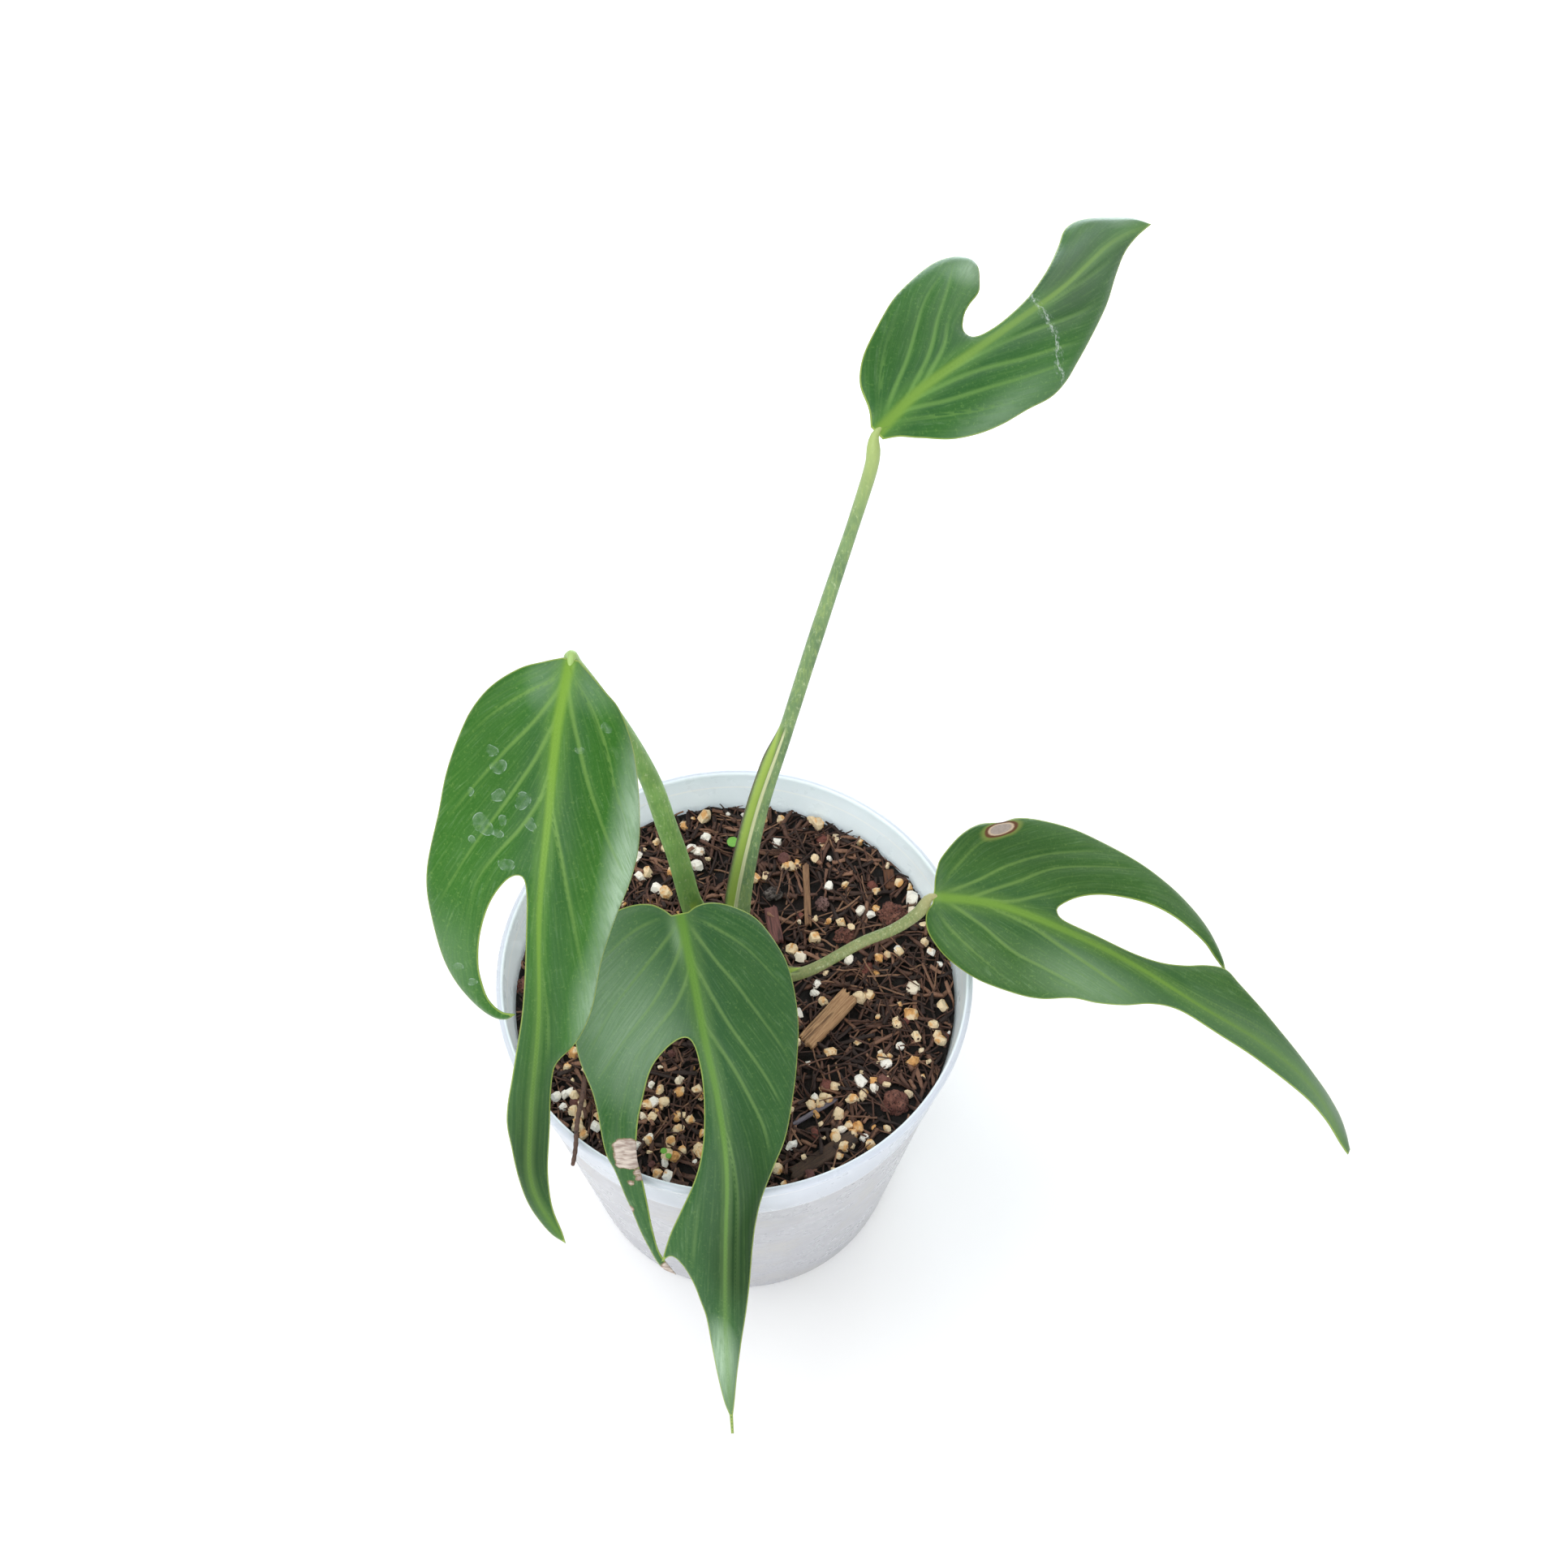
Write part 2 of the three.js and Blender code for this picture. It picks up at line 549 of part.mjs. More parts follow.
// Delaunay triangles of flat points, found by adding one point at a time.
function triangulate(points) {
  const far = 4000;
  const all = [...points, [-far, -far], [far, -far], [0, far]];
  const count = points.length;
  let triangles = [[count, count + 1, count + 2]];
  for (let index = 0; index < count; index++) {
    const edges = new Map();
    const kept = [];
    for (const triangle of triangles) {
      if (!inCircle(all, triangle, all[index])) {
        kept.push(triangle);
        continue;
      }
      for (let side = 0; side < 3; side++) {
        const edge = [triangle[side], triangle[(side + 1) % 3]];
        const key = edgeKey(...edge);
        edges.has(key) ? edges.delete(key) : edges.set(key, edge);
      }
    }
    triangles = kept;
    for (const [a, b] of edges.values()) triangles.push([a, b, index]);
  }
  return triangles.filter((triangle) => triangle.every((index) => index < count));
}

// Outline ring and flat triangles that have every side of the outline as an edge.
function flatLeaf(strokes) {
  let ring = outlinePoints(strokes, OUTLINE_SPACING);
  for (;;) {
    const points = [...ring, ...innerPoints(ring, BLADE_SPACING)];
    const triangles = triangulate(points).filter((triangle) => {
      const centre = [0, 1].map((k) => triangle.reduce((sum, i) => sum + points[i][k] / 3, 0));
      return isInside(ring, centre);
    });
    const edges = new Set(
      triangles.flatMap(([a, b, c]) => [edgeKey(a, b), edgeKey(b, c), edgeKey(c, a)]),
    );
    const split = ring.map((_, i) => !edges.has(edgeKey(i, (i + 1) % ring.length)));
    if (!split.includes(true)) return { ring, points, triangles };
    ring = ring.flatMap((p, i) => {
      const next = ring[(i + 1) % ring.length];
      return split[i] ? [p, [mix(p[0], next[0], 0.5), mix(p[1], next[1], 0.5)]] : [p];
    });
  }
}

// Blade: the flat leaf laid on its surface, the same triangles on both faces, with the midrib
// standing out of the underside. A grown blade is thicker on both faces.
function makeBlade(leaf, grow) {
  const { ring, points, triangles } = flatLeaf(leaf.outline);
  const half = BLADE_THICKNESS / 2 + grow;
  const length = leaf.curve.getLength();
  const count = points.length;
  const upper = [];
  const lower = [];
  for (const [x, y] of points) {
    const point = surfacePoint(leaf, x, y);
    const normal = surfaceNormal(leaf, x, y);
    const rise = Math.max(0, 1 - Math.abs(x) / RIB_HALF_WIDTH) * RIB_HEIGHT;
    const rib = rise * THREE.MathUtils.clamp(1 - y / length, 0, 1);
    upper.push(...point.clone().addScaledVector(normal, half).toArray());
    lower.push(...point.addScaledVector(normal, -half - rib).toArray());
  }
  const faces = [];
  for (const [a, b, c] of triangles) {
    faces.push(a, c, b);
    faces.push(a + count, b + count, c + count);
  }
  ring.forEach((_, index) => {
    const next = (index + 1) % ring.length;
    faces.push(index, next, next + count, index, next + count, index + count);
  });
  return solidOf(geometryFrom([...upper, ...lower], faces));
}

// Leaf stalk: a loft whose cross-section has the sheath's channel and wings over its lower part.
function petiolePath(name) {
  const { path, meets } = PETIOLES[name];
  if (meets === "underside") return curveThrough(path);
  const under = spineFrame(LEAVES[name], 0).up.multiplyScalar(-BLADE_THICKNESS / 2 - 0.4);
  const ends = [4, 2, GAP + 0.1].map((back) =>
    spineFrame(LEAVES[name], -back).origin.add(under).toArray(),
  );
  return curveThrough([...path, ...ends]);
}

function makePetiole(name, grow) {
  const { radii, sheath } = PETIOLES[name];
  const facing = vector(sheath.facing).normalize();
  const radiusAt = (share, outward) => {
    const open = THREE.MathUtils.smoothstep(sheath.share - share, 0, 0.12);
    const turn = outward.dot(facing);
    const channel = grow ? 0 : SHEATH_DEPTH * open * Math.max(0, turn - 0.5) * 2;
    const wing = SHEATH_WING * open * Math.max(0, 1 - Math.abs(turn - 0.35) / 0.4);
    return along(radii, share) * (1 - channel) + wing + grow;
  };
  return solidOf(loft(petiolePath(name), PETIOLE_RINGS, PETIOLE_SIDES, radiusAt, grow));
}

// Chips and sticks are boxes with nicked corners, and stones are lumps with few sides.
function chipGeometry([length, width, thickness], grow = 0) {
  const half = length / 2 + grow;
  const side = width / 2 + grow;
  const nick = Math.min(width * 0.25, 1);
  const outline = new THREE.Shape([
    new THREE.Vector2(-half, -side + nick),
    new THREE.Vector2(-half + nick * 1.6, -side),
    new THREE.Vector2(half - nick * 0.5, -side * 0.9),
    new THREE.Vector2(half, side - nick * 1.4),
    new THREE.Vector2(half - nick, side),
    new THREE.Vector2(-half + nick * 0.6, side * 0.92),
  ]);
  const depth = thickness + 2 * grow;
  const geometry = new THREE.ExtrudeGeometry(outline, { depth, bevelEnabled: false });
  return geometry.translate(0, 0, -depth / 2);
}

function stoneGeometry(radii, seed, grow = 0) {
  const lump = new THREE.IcosahedronGeometry(1, 1);
  lump.deleteAttribute("normal");
  lump.deleteAttribute("uv");
  const geometry = mergeVertices(lump, 1e-4);
  const random = randomFrom(seed);
  const place = geometry.attributes.position;
  for (let index = 0; index < place.count; index++) {
    const bump = 0.88 + 0.2 * random();
    const [x, y, z] = radii.map((radius) => radius * bump + grow);
    place.setXYZ(index, place.getX(index) * x, place.getY(index) * y, place.getZ(index) * z);
  }
  return geometry;
}

function addLoose(name, geometry, piece, roughness) {
  const mesh = addMesh(name, geometry, piece.colour, roughness);
  mesh.position.set(...piece.at);
  mesh.rotation.set(0, degrees(-(piece.tilt ?? 0)), degrees(piece.turn), "ZYX");
  mesh.updateMatrix();
  return mesh;
}

// Rim stick: a five-sided stick that starts in the mix and runs out just above the rim.
function rimStickGeometry(grow) {
  const { from, to, width } = RIM_STICK;
  const curve = new THREE.LineCurve3(vector(from), vector(to));
  return loft(curve, 4, 5, (share) => (width / 2) * mix(1.1, 0.8, share) + grow, grow);
}

// Mix: a body with a softly uneven top, and on it grains and fibres that are sunk well in.
const soilHeight = (x, y) =>
  SOIL_LEVEL +
  SOIL_SWELL * (0.6 * Math.sin(x / 9 + 1) * Math.cos(y / 11) + 0.4 * Math.sin((x + y) / 6));

// Rings of the body from the middle out, at the height of the surface, and last the foot of its side.
// It is wider than the pot and is trimmed later.
function soilBody() {
  const sides = 32;
  const wide = POT_RIM_RADIUS + 2;
  const rings = [[10], [20], [30], [40], [50], [60], [wide], [wide, 0]];
  const positions = [0, 0, soilHeight(0, 0), 0, 0, 0];
  const triangles = [];
  rings.forEach(([radius, level], ring) => {
    for (let side = 0; side < sides; side++) {
      const angle = (side / sides) * 2 * Math.PI;
      const x = radius * Math.cos(angle);
      const y = radius * Math.sin(angle);
      positions.push(x, y, level ?? soilHeight(x, y));
      const here = 2 + ring * sides + side;
      const next = 2 + ring * sides + ((side + 1) % sides);
      if (ring === 0) triangles.push(0, here, next);
      else triangles.push(here - sides, here, next, here - sides, next, next - sides);
      if (ring === rings.length - 1) triangles.push(1, next, here);
    }
  });
  return solidOf(geometryFrom(positions, triangles));
}

// Room left free of grains: round the feet of the stalks, and where the loose pieces lie.
function isTaken(x, y, size) {
  if (Math.hypot(x - STEM_CENTRE[0], y - STEM_CENTRE[1]) < CLEAR_OF_STEM + size) return true;
  const pieces = [...Object.values(CHIPS), ...Object.values(STONES)];
  return pieces.some((piece) => {
    const reach = (piece.size ?? piece.radii)[0] * (piece.size ? 0.5 : 1);
    return Math.hypot(x - piece.at[0], y - piece.at[1]) < reach + size;
  });
}

function randomSpot(random, inset) {
  const reach = (innerRadius(SOIL_LEVEL) - GAP - inset) * Math.sqrt(random());
  const angle = 2 * Math.PI * random();
  return [reach * Math.cos(angle), reach * Math.sin(angle)];
}

function soilGrains() {
  const random = randomFrom(7);
  const grains = [];
  while (grains.length < GRAIN_COUNT) {
    const size = mix(...GRAIN_RADII, random() ** 1.6);
    const [x, y] = randomSpot(random, size);
    const turns = [random() * 3, random() * 3, random() * 3];
    const squash = 0.65 + 0.3 * random();
    if (isTaken(x, y, size)) continue;
    const Lump = size > SMALL_GRAIN ? THREE.IcosahedronGeometry : THREE.OctahedronGeometry;
    const grain = new Lump(size, 0).scale(1, squash, squash);
    grain.rotateX(turns[0]).rotateY(turns[1]).rotateZ(turns[2]);
    grains.push(solidOf(grain.translate(x, y, soilHeight(x, y) + size * GRAIN_STAND)));
  }
  return grains;
}

function soilFibres() {
  const random = randomFrom(19);
  const fibres = [];
  while (fibres.length < FIBRE_COUNT) {
    const length = mix(...FIBRE_LENGTHS, random());
    const [x, y] = randomSpot(random, length / 2);
    const heading = Math.PI * random();
    const lean = 0.12 * (random() - 0.5);
    if (isTaken(x, y, length / 3)) continue;
    const fibre = new THREE.BoxGeometry(length, FIBRE_WIDTH, FIBRE_WIDTH);
    fibre.rotateY(lean).rotateZ(heading);
    fibres.push(solidOf(fibre.translate(x, y, soilHeight(x, y) + FIBRE_WIDTH * GRAIN_STAND)));
  }
  return fibres;
}

// Room inside the pot, clear of its wall, which everything in the mix is trimmed to.
function roomInPot() {
  const bottom = POT_FLOOR + GAP;
  const top = POT_HEIGHT + 5;
  const foot = innerRadius(bottom + 2) - GAP;
  const profile = [
    [0, bottom],
    [foot - 2, bottom],
    [foot, bottom + 2],
    [innerRadius(STEP_FOOT) - GAP, STEP_FOOT],
    [innerRadius(STEP_TOP) - GAP, STEP_TOP],
    [innerRadius(POT_HEIGHT) - GAP, top],
    [0, top],
  ];
  return solidOf(lathe(profile, POT_SIDES));
}

// Assembly
for (const leaf of Object.values(LEAVES)) leaf.curve = curveThrough(leaf.spine);

addMesh("pot", geometryOf(makePot()), COLOURS.pot, 0.45);

const stem = makeStem(0);
addMesh("stem", geometryOf(stem), COLOURS.stem, 0.6);

// Each stalk is trimmed to the stem, and to the stalks before it, with the touching gap between.
const trimmers = [makeStem(GAP)];
const holes = [makeStem(GAP)];
for (const name of Object.keys(PETIOLES)) {
  let petiole = makePetiole(name, 0);
  for (const trimmer of trimmers) petiole = petiole.subtract(trimmer);
  petiole = petiole.subtract(makeBlade(LEAVES[name], GAP));
  const pieces = petiole.decompose().sort((a, b) => b.volume() - a.volume());
  addMesh(`petiole_${name}`, geometryOf(pieces[0]), COLOURS.petiole, 0.55);
  trimmers.push(makePetiole(name, GAP));
  holes.push(makePetiole(name, GAP));
  addMesh(`blade_${name}`, geometryOf(makeBlade(LEAVES[name], 0)), COLOURS.blades[name], 0.4);
}

for (const [name, piece] of Object.entries(CHIPS)) {
  const mesh = addLoose(name, chipGeometry(piece.size), piece, 0.9);
  holes.push(solidOf(chipGeometry(piece.size, GAP).applyMatrix4(mesh.matrix)));
}

Object.entries(STONES).forEach(([name, piece], index) => {
  const mesh = addLoose(name, stoneGeometry(piece.radii, 31 + index), piece, 0.95);
  holes.push(solidOf(stoneGeometry(piece.radii, 31 + index, GAP).applyMatrix4(mesh.matrix)));
});

addMesh("rim_stick", rimStickGeometry(0), COLOURS.stick, 0.9);
holes.push(solidOf(rimStickGeometry(GAP)));

let soil = wasm.Manifold.union([soilBody(), ...soilGrains(), ...soilFibres()]);
soil = soil.intersect(roomInPot()).subtract(wasm.Manifold.union(holes));
const soilPieces = soil.decompose().sort((a, b) => b.volume() - a.volume());
addMesh("potting_mix", geometryOf(soilPieces[0]), COLOURS.mix, 0.95);

export default part;
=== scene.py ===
# %% [markdown]
# # A potted split-leaf monstera
# Four leathery leaves with one deep notch each grow on round stalks from a short stem, in a frosted
# nursery pot full of bark, coir and perlite. The solid model holds the sizes. This lesson dresses it:
# it loads those solids as a fixed frame, and makes finer pieces and finishes around them.

# %% Load the frame
import math
import random

import bmesh
import bpy
import numpy as np
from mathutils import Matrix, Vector, noise
from mathutils.geometry import delaunay_2d_cdt


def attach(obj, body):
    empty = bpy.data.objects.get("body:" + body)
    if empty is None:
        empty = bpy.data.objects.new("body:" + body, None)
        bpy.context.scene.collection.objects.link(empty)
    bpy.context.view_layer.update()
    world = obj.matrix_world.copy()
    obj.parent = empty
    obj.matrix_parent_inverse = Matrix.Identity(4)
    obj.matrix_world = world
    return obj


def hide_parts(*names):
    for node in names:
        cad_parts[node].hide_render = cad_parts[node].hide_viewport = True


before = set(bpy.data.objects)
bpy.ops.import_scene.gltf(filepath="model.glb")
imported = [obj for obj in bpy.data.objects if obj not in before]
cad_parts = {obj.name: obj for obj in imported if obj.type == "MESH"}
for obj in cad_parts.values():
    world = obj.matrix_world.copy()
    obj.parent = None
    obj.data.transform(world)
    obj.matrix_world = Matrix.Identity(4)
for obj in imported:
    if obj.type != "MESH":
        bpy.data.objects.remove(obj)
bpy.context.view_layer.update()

MM = 0.001
scene = bpy.context.scene
print("solid pieces:", len(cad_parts))

# %% [markdown]
# ## Camera
# The picture was taken from above and in front with a mild telephoto lens. The place, the downward
# tilt and the lens below make the pot's rim and foot fall where they do in the picture, so the same
# camera shows the model at the same angle.

# %% Camera
CAMERA_PLACE = (0.013495, -0.29620, 0.70083)  # metres
CAMERA_TILT = 31.505  # degrees from straight down
LENS = 54.77  # millimetres, for the sensor width below
SENSOR_WIDTH = 36

lens = bpy.data.cameras.new("camera")
lens.lens = LENS
lens.sensor_width = SENSOR_WIDTH
lens.sensor_fit = "HORIZONTAL"
camera = bpy.data.objects.new("camera", lens)
camera.location = CAMERA_PLACE
camera.rotation_euler = (math.radians(CAMERA_TILT), 0, 0)
scene.collection.objects.link(camera)
scene.camera = camera
print("camera", CAMERA_PLACE, "tilt", CAMERA_TILT)

# %% [markdown]
# ## Node trees
# Finishes and scattered pieces are both node trees. A small wrapper keeps them readable: each of its
# calls adds one node, fills its sockets with numbers or with the outputs of other nodes, and gives back
# an output. `ramp` turns a value smoothly from one number into another, and `blend` mixes two colours.
# Colours are typed as the hex codes a paint chart would use and turned into linear light.


# %% Node tree helper
def paint(code):
    parts = [int(code[place : place + 2], 16) / 255 for place in (1, 3, 5)]
    return (*[p / 12.92 if p < 0.04045 else ((p + 0.055) / 1.055) ** 2.4 for p in parts], 1)


class Board:
    def __init__(self, tree):
        self.tree = tree

    def fill(self, socket, value):
        if isinstance(value, bpy.types.NodeSocket):
            self.tree.links.new(value, socket)
        else:
            socket.default_value = value

    def node(self, kind, sockets=None, **settings):
        made = self.tree.nodes.new(kind)
        for key, value in settings.items():
            setattr(made, key, value)
        for key, value in (sockets or {}).items():
            self.fill(made.inputs[key], value)
        return made

    def math(self, operation, *values, clamp=False):
        made = self.node("ShaderNodeMath", operation=operation, use_clamp=clamp)
        for socket, value in zip(made.inputs, values):
            self.fill(socket, value)
        return made.outputs[0]

    def times(self, first, second):
        return self.math("MULTIPLY", first, second)

    def away(self, value, level):
        return self.math("ABSOLUTE", self.math("SUBTRACT", value, level))

    def read(self, attribute):
        return self.node("ShaderNodeAttribute", attribute_name=attribute).outputs["Fac"]

    def vector(self, operation, *values):
        made = self.node("ShaderNodeVectorMath", operation=operation)
        for socket, value in zip(made.inputs, values):
            self.fill(socket, value)
        return made.outputs[1 if operation in ("LENGTH", "DOT_PRODUCT") else 0]

    def scaled(self, place, factor):
        made = self.node("ShaderNodeVectorMath", {0: place, "Scale": factor}, operation="SCALE")
        return made.outputs[0]

    def ramp(self, value, start, end, low=0.0, high=1.0):
        sockets = {"Value": value, "From Min": start, "From Max": end, "To Min": low, "To Max": high}
        made = self.node("ShaderNodeMapRange", sockets, interpolation_type="SMOOTHSTEP")
        return made.outputs[0]

    def blend(self, share, first, second, how="MIX"):
        made = self.node("ShaderNodeMix", data_type="RGBA", blend_type=how)
        for index, value in ((0, share), (6, first), (7, second)):
            self.fill(made.inputs[index], paint(value) if isinstance(value, str) else value)
        return made.outputs[2]

    def noise(self, place, size, detail=2.0, rough=0.5, warp=0.0, output=0):
        sockets = {"Vector": place, "Scale": 1 / (size * MM), "Detail": detail}
        sockets |= {"Roughness": rough, "Distortion": warp}
        return self.node("ShaderNodeTexNoise", sockets).outputs[output]

    def stretched(self, place, scale, turn=0.0):
        sizes = tuple(1 / part for part in scale)
        sockets = {"Vector": place, "Rotation": (0, 0, turn), "Scale": sizes}
        return self.node("ShaderNodeMapping", sockets, vector_type="TEXTURE").outputs[0]


# %% [markdown]
# A finish is a Principled shader with a coloured pattern, a pattern in its roughness and a bump. What
# is even over the whole piece, such as its gloss level, is typed straight on the shader's own socket.


# %% Finish helper
def start_finish(name):
    material = bpy.data.materials.new(name)
    material.use_nodes = True
    material.node_tree.nodes.clear()
    board = Board(material.node_tree)
    return material, board, board.node("ShaderNodeTexCoord").outputs["Object"]


def end_finish(board, colour, rough, height, depth, **even):
    bump = board.node("ShaderNodeBump", {"Height": height, "Distance": depth * MM, "Strength": 1.0})
    sockets = {"Base Color": colour, "Roughness": rough, "Normal": bump.outputs[0]}
    shader = board.node("ShaderNodeBsdfPrincipled", sockets)
    for key, value in even.items():
        shader.inputs[key.replace("_", " ")].default_value = value
    output = board.node("ShaderNodeOutputMaterial")
    board.tree.links.new(shader.outputs[0], output.inputs[0])


# %% [markdown]
# ## Light and floor
# The picture is lit by soft, even daylight from above, with a little more of it from behind. A pale
# sky gives the even part. Four wide lamps give the rest: a window high on the left, one behind, a fill
# from the front, and a weak bluish one low behind, whose light bounces up the back of the pot. The
# floor is matt and almost white, with a faint cloudiness so it doesn't look like a hole in the picture.

# %% Light and floor
SKY_COLOUR = (0.98, 0.99, 1.0, 1)
SKY_STRENGTH = 0.68
LAMPS = {
    "window": dict(place=(-0.6, 0.2, 1.35), target=(0, 0, 0.15), size=1.0, power=8.5),
    "back_window": dict(place=(0.8, 0.9, 0.8), target=(0, 0, 0.15), size=1.0, power=5),
    "front_fill": dict(place=(-0.2, -1.2, 0.8), target=(0, 0, 0.1), size=1.2, power=11),
    "back_bounce": dict(
        place=(0.05, 0.5, 0.12), target=(0, 0, 0.1), size=0.35, power=1.3, tint=(0.8, 0.92, 1)
    ),
}
FLOOR_REACH = 3.0  # metres from the pot to each side of the floor

world = bpy.data.worlds.new("pale_sky")
world.use_nodes = True
sky = world.node_tree.nodes["Background"]
sky.inputs["Color"].default_value = SKY_COLOUR
sky.inputs["Strength"].default_value = SKY_STRENGTH
scene.world = world
scene.view_settings.view_transform = "Standard"


def add_lamp(name, place, target, size, power, tint=(1, 1, 1)):
    lamp = bpy.data.lights.new(name, "AREA")
    lamp.size = size
    lamp.color = tint
    lamp.energy = power
    holder = bpy.data.objects.new(name, lamp)
    holder.location = place
    holder.rotation_euler = (Vector(target) - Vector(place)).to_track_quat("-Z", "Y").to_euler()
    holder.visible_camera = False
    scene.collection.objects.link(holder)


for name, settings in LAMPS.items():
    add_lamp(name, **settings)


def floor_finish():
    material, board, place = start_finish("matt_paper")
    cloud = board.noise(place, 180, detail=1)
    colour = board.blend(cloud, "#f6f7f8", "#fbfbfb")
    end_finish(board, colour, board.ramp(cloud, 0, 1, 0.85, 0.95), board.noise(place, 2), 0.02)
    return material


def link(name, mesh, material=None):
    piece = bpy.data.objects.new(name, mesh)
    scene.collection.objects.link(piece)
    if material:
        mesh.materials.clear()
        mesh.materials.append(material)
    return piece


corners = [(-1, -1), (1, -1), (1, 1), (-1, 1)]
floor_points = [(x * FLOOR_REACH, y * FLOOR_REACH, 0) for x, y in corners]
floor_mesh = bpy.data.meshes.new("floor")
floor_mesh.from_pydata(floor_points, [], [(0, 1, 2, 3)])
floor = link("floor", floor_mesh, floor_finish())
print("floor and", len(LAMPS), "lamps")

# %% [markdown]
# ## Curves and meshes
# Every leaf and stalk follows a smooth curve through a few typed points. The helpers below draw that
# curve, space points evenly along it, and turn lists of points in millimetres into a piece in metres.


# %% Curve and mesh helpers
def smooth_line(points, steps=24):
    knots = np.array(points, float)
    knots = np.vstack([2 * knots[0] - knots[1], knots, 2 * knots[-1] - knots[-2]])
    t = np.linspace(0, 1, steps, endpoint=False)[:, None]
    spans = []
    for a, b, c, d in zip(knots[:-3], knots[1:-2], knots[2:-1], knots[3:]):
        square = (2 * a - 5 * b + 4 * c - d) * t**2
        cube = (3 * b - a - 3 * c + d) * t**3
        spans.append(0.5 * (2 * b + (c - a) * t + square + cube))
    return np.vstack(spans + [knots[-2:-1]])


def run_of(line):
    return np.concatenate([[0], np.cumsum(np.linalg.norm(np.diff(line, axis=0), axis=1))])


def read_line(line, run, at):
    return np.stack([np.interp(at, run, column) for column in line.T], 1)


def spaced(line, spacing):
    run = run_of(line)
    count = max(1, round(run[-1] / spacing))
    return read_line(line, run, np.linspace(0, run[-1], count + 1))


def unit(vectors):
    return vectors / np.linalg.norm(vectors, axis=-1, keepdims=True)


def spread(values, share):
    return np.interp(np.clip(share, 0, 1) * (len(values) - 1), range(len(values)), values)


def fade(value, start, end):
    t = np.clip((value - start) / (end - start), 0, 1)
    return t * t * (3 - 2 * t)


def mesh_from(name, points, faces, material, attributes=None, flat_map=None):
    mesh = bpy.data.meshes.new(name)
    mesh.from_pydata([tuple(p) for p in np.asarray(points) * MM], [], faces)
    mesh.polygons.foreach_set("use_smooth", [True] * len(mesh.polygons))
    for key, values in (attributes or {}).items():
        layer = mesh.attributes.new(key, "FLOAT", "POINT")
        layer.data.foreach_set("value", np.asarray(values, np.float32))
    if flat_map is not None:
        corners = np.zeros(len(mesh.loops), np.int32)
        mesh.loops.foreach_get("vertex_index", corners)
        layer = mesh.uv_layers.new(name="flat")
        layer.data.foreach_set("uv", np.asarray(flat_map, np.float32)[corners].ravel())
    return link(name, mesh, material)


# %% [markdown]
# ## Leaves
# A leaf is drawn flat, across and along in millimetres, and then laid on a bent spine: each half folds
# away from the midrib and curls further the farther out it goes. These are the solid model's numbers,
# so the fine leaf lies where its solid does. `outline` is a list of smooth strokes that meet at
# corners, and `lobe` is the finger beside the notch, whose tip hangs lower than the rest. Its `split`
# is the line that parts it from the blade, as pairs of distance along and distance across.

